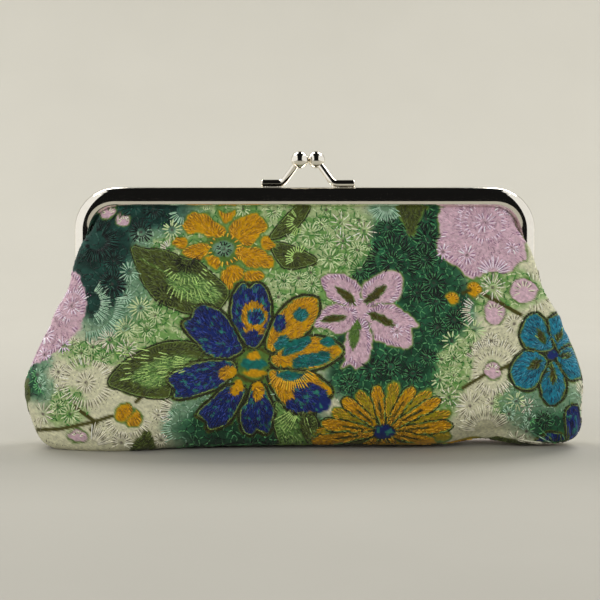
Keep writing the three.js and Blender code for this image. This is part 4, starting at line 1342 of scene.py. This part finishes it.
def stitch_piece(name, panel, stitches, chart_of, material):
    """Every stitch as a closed spindle of thread that rises from the cloth and dips back into it."""
    start, on_start = panel.seat(chart_of(stitches[:, START]))
    end, on_end = panel.seat(chart_of(stitches[:, END]))
    a, b = panel.sample(panel.outer, start), panel.sample(panel.outer, end)
    length = np.linalg.norm(b - a, axis=1)
    shown = on_start & on_end & (length > SHORTEST) & (length < LONGEST) & clear_of_frame((a + b) / 2)
    shown &= np.minimum(a[:, 2], b[:, 2]) > BASE_CLEAR
    bold = stitches[:, WIDTH] >= TWO_RINGS_FROM
    points, faces, colours, cells = [], [], [], []
    count, done = 0, 0
    for kept, rings in ((shown & bold, TWO_RINGS), (shown & ~bold, ONE_RING)):
        place = (start + end)[kept] / 2
        normal = unit(panel.sample(panel.normal, place))
        chord = (a + b)[kept] / 2
        bow = ((panel.sample(panel.outer, place) - chord) * normal).sum(1, keepdims=True)
        width = stitches[kept, WIDTH][:, None]
        made, ties = spindles(a[kept], b[kept], normal, bow, width, rings)
        points.append(made)
        faces.append(ties + count)
        colours.append(np.repeat(thread_colours(stitches[kept]), 3 * len(rings) + 2, axis=0))
        cells.append(stitch_cells(done, kept.sum(), shown.sum(), rings))
        count += len(made)
        done += kept.sum()
    piece = add_mesh(name, np.concatenate(points), [np.concatenate(faces)], material)
    paint(piece, "thread", np.concatenate(colours))
    unwrap(piece, np.concatenate(cells))
    return piece


def stitch_cells(first, count, total, rings):
    """A small cell of the UV square for each stitch."""
    side = math.ceil(math.sqrt(total))
    row, column = np.divmod(first + np.arange(count), side)
    spot = [(CELL_LOW, CELL_MIDDLE)]
    for t in rings:
        spot += [(t, CELL_MIDDLE), (t, CELL_HIGH), (t, CELL_LOW)]
    spot = np.array([*spot, (CELL_HIGH, CELL_MIDDLE)])
    return ((np.stack([column, row], -1)[:, None] + spot[None]) / side).reshape(-1, 2)


def clear_of_frame(points):
    """Whether points lie on cloth that shows, not inside the frame's channel."""
    x, z = np.abs(points[:, 0]), points[:, 2]
    in_corner = (x > CORNER_X) & (z > CORNER_Z)
    dx, dz = x - CORNER_X, z - CORNER_Z
    far = np.where(in_corner, np.hypot(dx, dz), np.maximum(dx, dz))
    under = (far > FRAME_CORNER_R - LIP_REACH - LIP_MARGIN) & (z > ARM_END_Z - ARM_MARGIN)
    return ~under | (np.abs(points[:, 1]) > FACE_CLEAR + LIP_MARGIN)


# Metal: channel frames, hinge rivets and the ball clasp

ARC_STEPS = 10
CORNER_STEPS = 28
BAR_STEPS = 30
ARM_STEPS = 8
EAR_STEPS = 40
SHARP_ANGLE = math.radians(40)
ROD_SIDES, STUD_SIDES = 24, 12
BALL_RINGS, BALL_SIDES, BALL_POLE = 28, 40, 0.04

# The clasp's rod: steps of its bend and of its blunt end, that end's length and least radius as a share of
# the rod's radius, and the rings on its two straight stretches as shares of their length
BEND_STEPS, BLUNT_STEPS, BLUNT_SHARE = 14, 7, 0.5
LOWER_RINGS, UPPER_RINGS = np.linspace(0.15, 0.95, 8), np.linspace(0.1, 1, 8)

# The rivet: radii of its clinched head as shares of the domed one's, the dome's straight edge, its steps
# and the angle at which it ends, and the length of a crisp edge
CLINCH_SHARES = (0.7, 0.85)
DOME_EDGE, DOME_STEPS, DOME_END = 0.05, 8, 0.12
CRISP_EDGE = 0.01


def channel_section(turned):
    """The frame's section as (inwards from the outer edge, out from the parting plane), with a
    flat face on the bar and, as it turns into the arms, a rounder one."""
    edge_r = lerp(OUTER_EDGE_R, ARM_EDGE_R, turned)
    face = lerp(FACE_FLAT, ARM_FACE_FLAT, turned)
    lip_r = lerp(LIP_R, ARM_LIP_R, turned)

    def arc(x, y, radius, first, last):
        angle = np.linspace(first, last, ARC_STEPS)
        return list(zip(x + radius * np.cos(angle), y + radius * np.sin(angle)))

    edge_y, lip_y, up = FRAME_HALF_DEPTH - edge_r, FRAME_HALF_DEPTH - lip_r, math.pi / 2
    tip = lip_r - SHEET / 2
    tip_x, tip_y = face + tip * math.cos(LIP_END), lip_y + tip * math.sin(LIP_END)
    points = [(BACK_WALL, FRAME_PARTING), (0, FRAME_PARTING)]
    points += arc(edge_r, edge_y, edge_r, math.pi, up)
    points += arc(face, lip_y, lip_r, up, LIP_END)
    points += arc(tip_x, tip_y, SHEET / 2, LIP_END, LIP_END - math.pi)[1:-1]
    points += arc(face, lip_y, lip_r - SHEET, LIP_END, up)
    points += arc(edge_r, edge_y, edge_r - SHEET, up, math.pi)
    points += [(SHEET, FRAME_PARTING + SHEET), (BACK_WALL, FRAME_PARTING + SHEET)]
    return np.array(points)


def frame_stations():
    """Points along the outer edge of the U with the direction inwards, left foot to right foot."""
    half = FRAME_WIDTH / 2
    stations = [(-half, z, 1, 0) for z in np.linspace(ARM_END_Z, CORNER_Z, ARM_STEPS, endpoint=False)]
    for angle in np.linspace(math.pi, math.pi / 2, CORNER_STEPS):
        c, s = math.cos(angle), math.sin(angle)
        stations.append((-CORNER_X + FRAME_CORNER_R * c, CORNER_Z + FRAME_CORNER_R * s, -c, -s))
    stations += [(x, FRAME_TOP, 0, -1) for x in np.linspace(-CORNER_X, CORNER_X, BAR_STEPS)[1:-1]]
    left = stations[: ARM_STEPS + CORNER_STEPS]
    right = [(-x, z, -in_x, in_z) for x, z, in_x, in_z in reversed(left)]
    return np.array(stations + right)


def tube_faces(rings, count):
    """Faces of a tube of rings, closed by a flat cap at each end."""
    k = np.arange(count)
    n = (k + 1) % count
    band = np.stack([k, n, count + n, count + k], -1)
    sides = [band + i * count for i in range(rings - 1)]
    caps = [k[None, ::-1], ((rings - 1) * count + k)[None]]
    return [np.concatenate(sides), *caps]


def facing_out(points, faces):
    """The faces, turned over if they point into the solid."""
    volume = 0.0
    for group in faces:
        a = points[group[:, 0]]
        for n in range(1, group.shape[1] - 1):
            volume += (a * np.cross(points[group[:, n]], points[group[:, n + 1]])).sum()
    return faces if volume > 0 else [f[:, ::-1] for f in faces]


class Solids:
    """Closed solids gathered into one mesh."""

    def __init__(self):
        self.points, self.faces, self.count = [], [], 0

    def add(self, points, faces):
        self.faces += [f + self.count for f in facing_out(points, faces)]
        self.points.append(points)
        self.count += len(points)

    def piece(self, name, material):
        return add_mesh(name, np.concatenate(self.points), self.faces, material)


def channel(front):
    stations = frame_stations()
    section = np.array([channel_section(turned) for turned in smooth(np.abs(stations[:, 2]))])
    x = stations[:, [0]] + stations[:, [2]] * section[..., 0]
    z = stations[:, [1]] + stations[:, [3]] * section[..., 0]
    return np.stack([x, front * section[..., 1], z], -1).reshape(-1, 3), tube_faces(*section.shape[:2])


def plate(outline, x_low, x_high):
    """A flat plate drawn in (y, z) between two x values."""
    rings = [np.column_stack([np.full(len(outline), x), outline]) for x in (x_low, x_high)]
    return np.concatenate(rings), tube_faces(2, len(outline))


def ear_outline(front):
    """The hinge ear: a disc round the rivet under a tongue that hangs from the arm."""
    low, high = sorted((front * EAR_BACK, front * EAR_FACE))
    angle = np.linspace(0, 2 * math.pi, EAR_STEPS, endpoint=False)
    disc = np.stack([EAR_R * np.cos(angle), HINGE_Z + EAR_R * np.sin(angle)], -1)
    kept = disc[(disc[:, 0] < low) | (disc[:, 0] > high) | (disc[:, 1] < HINGE_Z)]
    ring = kept[np.argsort(np.arctan2(kept[:, 1] - HINGE_Z, kept[:, 0]))]
    past_tongue = (ring[:, 1] >= HINGE_Z) & (ring[:, 0] < low)
    tongue = [(high, EAR_TOP_Z), (low, EAR_TOP_Z)]
    return np.concatenate([ring[~past_tongue], tongue, ring[past_tongue]])


def metal_piece(solids, name, node, material):
    """The solids as one piece that stands for a CAD node."""
    piece = solids.piece(name, material)
    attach(piece, "root")
    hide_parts(node)
    return piece


def sharpen(piece):
    """Smooth shading that keeps the sheet metal's folded edges."""
    piece.data.set_sharp_from_angle(angle=SHARP_ANGLE)


def frame_half(name, front, node, material):
    """A channel with a hinge ear on each arm; the back half's ears are stepped in."""
    solids = Solids()
    solids.add(*channel(front))
    half = FRAME_WIDTH / 2
    inner = SHEET + EAR_GAP if front == BACK else 0
    for side in (-1, 1):
        low, high = sorted((side * (half - inner), side * (half - inner - SHEET)))
        solids.add(*plate(ear_outline(front), low, high))
        if inner:
            near, far = sorted((front * EAR_BACK, front * EAR_FACE))
            step = [(near, EAR_STEP_Z), (far, EAR_STEP_Z), (far, EAR_TOP_Z), (near, EAR_TOP_Z)]
            low, high = sorted((side * (half - SHEET / 2), side * (half - inner - SHEET / 2)))
            solids.add(*plate(np.array(step), low, high))
    sharpen(metal_piece(solids, name, node, material))


def swept(path, radii, sides=ROD_SIDES):
    """A round rod along a path, one radius for each of its points."""
    path = np.asarray(path, float)
    ahead = unit(np.gradient(path, axis=0))
    across = unit(np.cross(ahead, (0, 1, 0)))
    over = np.cross(ahead, across)
    angle = (np.arange(sides) * 2 * math.pi / sides)[None, :, None]
    ring = np.cos(angle) * across[:, None] + np.sin(angle) * over[:, None]
    points = path[:, None] + ring * np.asarray(radii, float)[:, None, None]
    return points.reshape(-1, 3), tube_faces(len(path), sides)


def ball(centre, radius):
    """A sphere as a rod of changing radius."""
    angle = np.linspace(BALL_POLE, math.pi - BALL_POLE, BALL_RINGS)
    path = np.asarray(centre) + np.outer(-radius * np.cos(angle), (0, 0, 1))
    return swept(path, radius * np.sin(angle), BALL_SIDES)


def clasp(name, front, side, node, material):
    """A rod that lies on the frame's roof, bends up and ends in a ball past the parting plane."""
    def at(x, y, z):
        return np.array([CLASP_X + side * x, front * y, z])

    foot_z = FRAME_TOP + CLASP_SEAT_GAP + CLASP_ROD_R
    centre = at(CLASP_BALL_X, -CLASP_BALL_Y, FRAME_TOP + CLASP_BALL_RISE)
    foot = at(CLASP_FOOT_END, CLASP_SEAT_Y, foot_z)
    bend = at(CLASP_BEND, CLASP_SEAT_Y, foot_z)
    bend_in = at(CLASP_BEND + CLASP_BEND_IN, CLASP_SEAT_Y, foot_z)
    bend_out = bend + unit(centre - bend) * CLASP_BEND_OUT
    t = np.linspace(0, 1, BEND_STEPS)[:, None]
    curve = (1 - t) ** 2 * bend_in + 2 * t * (1 - t) * bend + t**2 * bend_out
    rounding = np.linspace(0, math.pi / 2, BLUNT_STEPS)[:-1]
    blunt = foot + np.outer(BLUNT_SHARE * CLASP_ROD_R * (1 - np.cos(rounding)), unit(bend_in - foot))
    lower = lerp(foot, bend_in, LOWER_RINGS[:, None])
    upper = lerp(bend_out, centre, UPPER_RINGS[:, None])
    path = np.concatenate([blunt, lower, curve, upper])
    radii = np.full(len(path), CLASP_ROD_R)
    radii[: len(rounding)] *= BLUNT_SHARE + (1 - BLUNT_SHARE) * np.sin(rounding)
    solids = Solids()
    solids.add(*swept(path, radii))
    solids.add(*ball(centre, CLASP_BALL_R))
    for stud_x in STUD_X:
        top = at(stud_x, CLASP_SEAT_Y, foot_z)
        low = top - (0, 0, STUD_LENGTH + CLASP_ROD_R)
        solids.add(*swept([low, top], [STUD_R, STUD_R], STUD_SIDES))
    metal_piece(solids, name, node, material)


def rivet(name, side, node, material):
    """A rivet along X with a domed head outside and a clinched one inside."""
    outer = FRAME_WIDTH / 2 + RIVET_CLEAR
    inner = FRAME_WIDTH / 2 - 2 * SHEET - EAR_GAP - RIVET_CLEAR
    clinch_end, clinch_foot = (RIVET_HEAD_R * share for share in CLINCH_SHARES)
    profile = [
        (clinch_end, inner - RIVET_HEAD),
        (clinch_foot, inner),
        (RIVET_R, inner + CRISP_EDGE),
        (RIVET_R, outer - CRISP_EDGE),
        (RIVET_HEAD_R, outer),
    ]
    for a in np.linspace(math.pi / 2, DOME_END, DOME_STEPS):
        profile.append((RIVET_HEAD_R * math.sin(a), outer + DOME_EDGE + RIVET_HEAD * math.cos(a)))
    radii, along = np.array(profile).T
    path = np.column_stack([side * along, np.zeros(len(along)), np.full(len(along), HINGE_Z)])
    solids = Solids()
    solids.add(*swept(path, radii))
    sharpen(metal_piece(solids, name, node, material))


# Materials

# Length in which a wave texture of scale 1 repeats
WAVE_PERIOD = 2 * math.pi / 20

# Sizes in mm, nickel as linear colours and paper as sRGB ones
WEAVE_PITCH = 0.5
GRAIN_SIZE = 1.1
TWIST_PITCH = 0.35
NICKEL_DARK, NICKEL_LIGHT = (0.80, 0.755, 0.66), (0.89, 0.855, 0.77)
PAPER_DARK, PAPER_LIGHT = (177, 174, 164), (182, 179, 169)


def material_nodes(name):
    material = bpy.data.materials.new(name)
    material.use_nodes = True
    tree = material.node_tree
    return material, tree, tree.nodes["Principled BSDF"]


def noise_node(tree, scale, detail=2.0):
    place = tree.nodes.new("ShaderNodeTexCoord")
    noise = tree.nodes.new("ShaderNodeTexNoise")
    noise.inputs["Scale"].default_value = scale
    noise.inputs["Detail"].default_value = detail
    tree.links.new(place.outputs["Object"], noise.inputs["Vector"])
    return noise.outputs["Fac"]


def ranged(tree, value, low, high):
    node = tree.nodes.new("ShaderNodeMapRange")
    node.inputs["To Min"].default_value = low
    node.inputs["To Max"].default_value = high
    tree.links.new(value, node.inputs["Value"])
    return node.outputs["Result"]


def bumped(tree, shader, height, strength, distance):
    bump = tree.nodes.new("ShaderNodeBump")
    bump.inputs["Strength"].default_value = strength
    bump.inputs["Distance"].default_value = distance
    tree.links.new(height, bump.inputs["Height"])
    tree.links.new(bump.outputs["Normal"], shader.inputs["Normal"])


def two_tints(tree, shader, value, dark, light):
    """Base colour between two tints, by a value."""
    tint = tree.nodes.new("ShaderNodeValToRGB")
    tint.color_ramp.elements[0].color = (*dark, 1)
    tint.color_ramp.elements[1].color = (*light, 1)
    tree.links.new(value, tint.inputs["Fac"])
    tree.links.new(tint.outputs["Color"], shader.inputs["Base Color"])


def dyed(tree, shader, attribute, shade):
    """Base colour from a colour attribute, made lighter and darker by a shade."""
    colour = tree.nodes.new("ShaderNodeAttribute")
    colour.attribute_name = attribute
    scaled = tree.nodes.new("ShaderNodeVectorMath")
    scaled.operation = "SCALE"
    tree.links.new(colour.outputs["Color"], scaled.inputs[0])
    tree.links.new(shade, scaled.inputs["Scale"])
    tree.links.new(scaled.outputs["Vector"], shader.inputs["Base Color"])


def weave_height(tree):
    """Plain weave as two crossed bands of threads."""
    place = tree.nodes.new("ShaderNodeTexCoord")
    bands = []
    for direction in ("X", "Z"):
        wave = tree.nodes.new("ShaderNodeTexWave")
        wave.bands_direction = direction
        wave.inputs["Scale"].default_value = WAVE_PERIOD / (WEAVE_PITCH * MM)
        wave.inputs["Distortion"].default_value = 1.5
        tree.links.new(place.outputs["Object"], wave.inputs["Vector"])
        bands.append(wave.outputs["Fac"])
    woven = tree.nodes.new("ShaderNodeMath")
    woven.operation = "MULTIPLY"
    for k in (0, 1):
        tree.links.new(bands[k], woven.inputs[k])
    return woven.outputs["Value"]


def cloth_material():
    material, tree, shader = material_nodes("printed_cloth")
    weave = weave_height(tree)
    dyed(tree, shader, "print", ranged(tree, noise_node(tree, 1 / (GRAIN_SIZE * MM)), low=0.6, high=1.4))
    bumped(tree, shader, weave, strength=0.5, distance=0.15 * MM)
    shader.inputs["Roughness"].default_value = 0.72
    shader.inputs["Specular IOR Level"].default_value = 0.28
    shader.inputs["Sheen Weight"].default_value = 0.12
    shader.inputs["Sheen Roughness"].default_value = 0.4
    return material


def thread_material():
    material, tree, shader = material_nodes("rayon_thread")
    twist = noise_node(tree, 1 / (TWIST_PITCH * MM), detail=3)
    dyed(tree, shader, "thread", ranged(tree, twist, low=0.8, high=1.2))
    bumped(tree, shader, twist, strength=0.4, distance=0.1 * MM)
    shader.inputs["Roughness"].default_value = 0.34
    shader.inputs["Specular IOR Level"].default_value = 0.5
    shader.inputs["Sheen Weight"].default_value = 0.1
    return material


def nickel_material(name, roughness):
    material, tree, shader = material_nodes(name)
    wear = noise_node(tree, scale=420, detail=6)
    two_tints(tree, shader, wear, NICKEL_DARK, NICKEL_LIGHT)
    worn = ranged(tree, wear, low=0.5 * roughness, high=1.6 * roughness)
    tree.links.new(worn, shader.inputs["Roughness"])
    bumped(tree, shader, noise_node(tree, scale=60, detail=1), strength=0.03, distance=0.3 * MM)
    shader.inputs["Metallic"].default_value = 1.0
    return material


def paper_material():
    material, tree, shader = material_nodes("pale_paper")
    grain = noise_node(tree, scale=14, detail=3)
    two_tints(tree, shader, grain, linear(PAPER_DARK), linear(PAPER_LIGHT))
    shader.inputs["Roughness"].default_value = 0.9
    shader.inputs["Specular IOR Level"].default_value = 0.1
    return material


# Stage: paper sweep, softboxes and the camera

SWEEP_FRONT, SWEEP_BACK, SWEEP_R = -600.0, 900.0, 420.0
SWEEP_TOP, SWEEP_HALF, SWEEP_STEPS = 1100.0, 800.0, 20

# Softboxes: name, place, aim, width, height, watts
SOFTBOXES = [
    ("front_box_left", (-420, -1050, 560), (0, -20, 80), 420, 420, 3.1),
    ("front_box_right", (420, -1050, 560), (0, -20, 80), 420, 420, 2.8),
    ("side_wall_left", (-640, -245, 405), (0, -245, 405), 1710, 800, 4.2),
    ("side_wall_right", (640, -245, 405), (0, -245, 405), 1710, 800, 3.9),
    ("roof_left", (-540, -225, 800), (-540, -225, 0), 240, 750, 0.6),
    ("roof_right", (540, -225, 800), (540, -225, 0), 240, 750, 0.56),
    ("back_box_left", (-480, 430, 800), (-480, 430, 0), 620, 540, 6.0),
    ("back_box_right", (480, 430, 800), (480, 430, 0), 620, 540, 6.3),
]

# Softboxes left out of reflections, so that the frame's face stays dark as in the photograph
UNMIRRORED = ("front_box_left", "front_box_right")
LIGHT_TINT = (1.0, 0.995, 0.985)
WORLD_GREY = (0.008, 0.008, 0.008, 1)
CLIP_START = 0.01


def paper_sweep():
    """A floor that curves up into a backdrop."""
    arc = np.linspace(-math.pi / 2, 0, SWEEP_STEPS)
    profile = [(SWEEP_FRONT, 0.0)]
    profile += [(SWEEP_BACK - SWEEP_R + SWEEP_R * math.cos(a), SWEEP_R + SWEEP_R * math.sin(a)) for a in arc]
    profile += [(SWEEP_BACK, SWEEP_TOP)]
    y, z = np.array(profile).T
    sides = [np.column_stack([np.full(len(y), x), y, z]) for x in (-SWEEP_HALF, SWEEP_HALF)]
    points = np.concatenate(sides) - SHIFT
    made = add_mesh("paper_sweep", points, [quads(2, len(y))], paper_material())


def aimed(obj, place, aim):
    """Put a light or the camera in its place and turn it to its aim."""
    start, end = Vector(np.array(place, float) * MM), Vector(np.array(aim, float) * MM)
    obj.location = start
    obj.rotation_euler = (end - start).to_track_quat("-Z", "Y").to_euler()
    bpy.context.scene.collection.objects.link(obj)


def studio():
    paper_sweep()
    for name, place, aim, width, height, watts in SOFTBOXES:
        light = bpy.data.lights.new(name, "AREA")
        light.shape = "RECTANGLE"
        light.size, light.size_y = width * MM, height * MM
        light.energy = watts
        light.color = LIGHT_TINT
        box = bpy.data.objects.new(name, light)
        box.visible_glossy = name not in UNMIRRORED
        aimed(box, place, aim)
    world = bpy.data.worlds.new("dark_room")
    world.use_nodes = True
    world.node_tree.nodes["Background"].inputs["Color"].default_value = WORLD_GREY
    bpy.context.scene.world = world
    camera = bpy.data.cameras.new("camera")
    camera.sensor_width = SENSOR_WIDTH
    camera.lens = CAMERA_LENS
    camera.clip_start = CLIP_START
    made = bpy.data.objects.new("camera", camera)
    aimed(made, CAMERA_AT + SHIFT, CAMERA_AIM + SHIFT)
    bpy.context.scene.camera = made
    bpy.context.scene.view_settings.view_transform = "Standard"


# The purse

BACK_TURN = np.array([610.0, 655.0])
# Eyelet holes painted as dots of shade: radius, soft edge and strength
EYELET_R, EYELET_SOFT, EYELET_SHADE_SHARE = 1.5, 1.2, 0.85


def turned_chart(xy):
    """The back panel is cut from the same cloth turned half round."""
    return BACK_TURN - xy


def same_chart(xy):
    return xy


def cloth_colours(panel, chart_of, eyelets):
    """Linear print colours of the panel's outer points, with a dot of painted shade in each eyelet hole."""
    chart = chart_of(panel.chart.reshape(-1, 2))
    colour, _ = printed(chart)
    for spot in eyelets:
        near = np.flatnonzero((np.abs(chart - spot) < EYELET_R + EYELET_SOFT).all(1))
        share = covered(np.linalg.norm(chart[near] - spot, axis=1), EYELET_R, EYELET_SOFT)[:, None]
        colour[near] = lerp(colour[near], np.array(EYELET_SHADE_GREY, float), EYELET_SHADE_SHARE * share)
    return linear(colour)


def purse():
    cloth, thread = cloth_material(), thread_material()
    panels = {"front": (Panel(FRONT), same_chart), "back": (Panel(BACK), turned_chart)}
    chart = panels["front"][0].chart.reshape(-1, 2)
    ground, flowers, eyelets = embroider(chart.min(0), chart.max(0))
    for side, (panel, chart_of) in panels.items():
        piece = cloth_piece(f"cloth_{side}", panel, cloth_colours(panel, chart_of, eyelets), cloth)
        work = [stitch_piece(f"{kind}_stitches_{side}", panel, stitches, chart_of, thread)
                for kind, stitches in (("ground", ground), ("flower", flowers))]
        for made in (piece, *work):
            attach(made, "root")
        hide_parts(f"panel_{side}")
    nickel = nickel_material("polished_nickel", roughness=0.07)
    bright = nickel_material("bright_nickel", roughness=0.04)
    frame_half("frame_half_front", FRONT, "frame_front", nickel)
    frame_half("frame_half_back", BACK, "frame_back", nickel)
    clasp("clasp_right", FRONT, 1, "clasp_front", bright)
    clasp("clasp_left", BACK, -1, "clasp_back", bright)
    rivet("rivet_left", -1, "hinge_rivet_left", nickel)
    rivet("rivet_right", 1, "hinge_rivet_right", nickel)


purse()
studio()
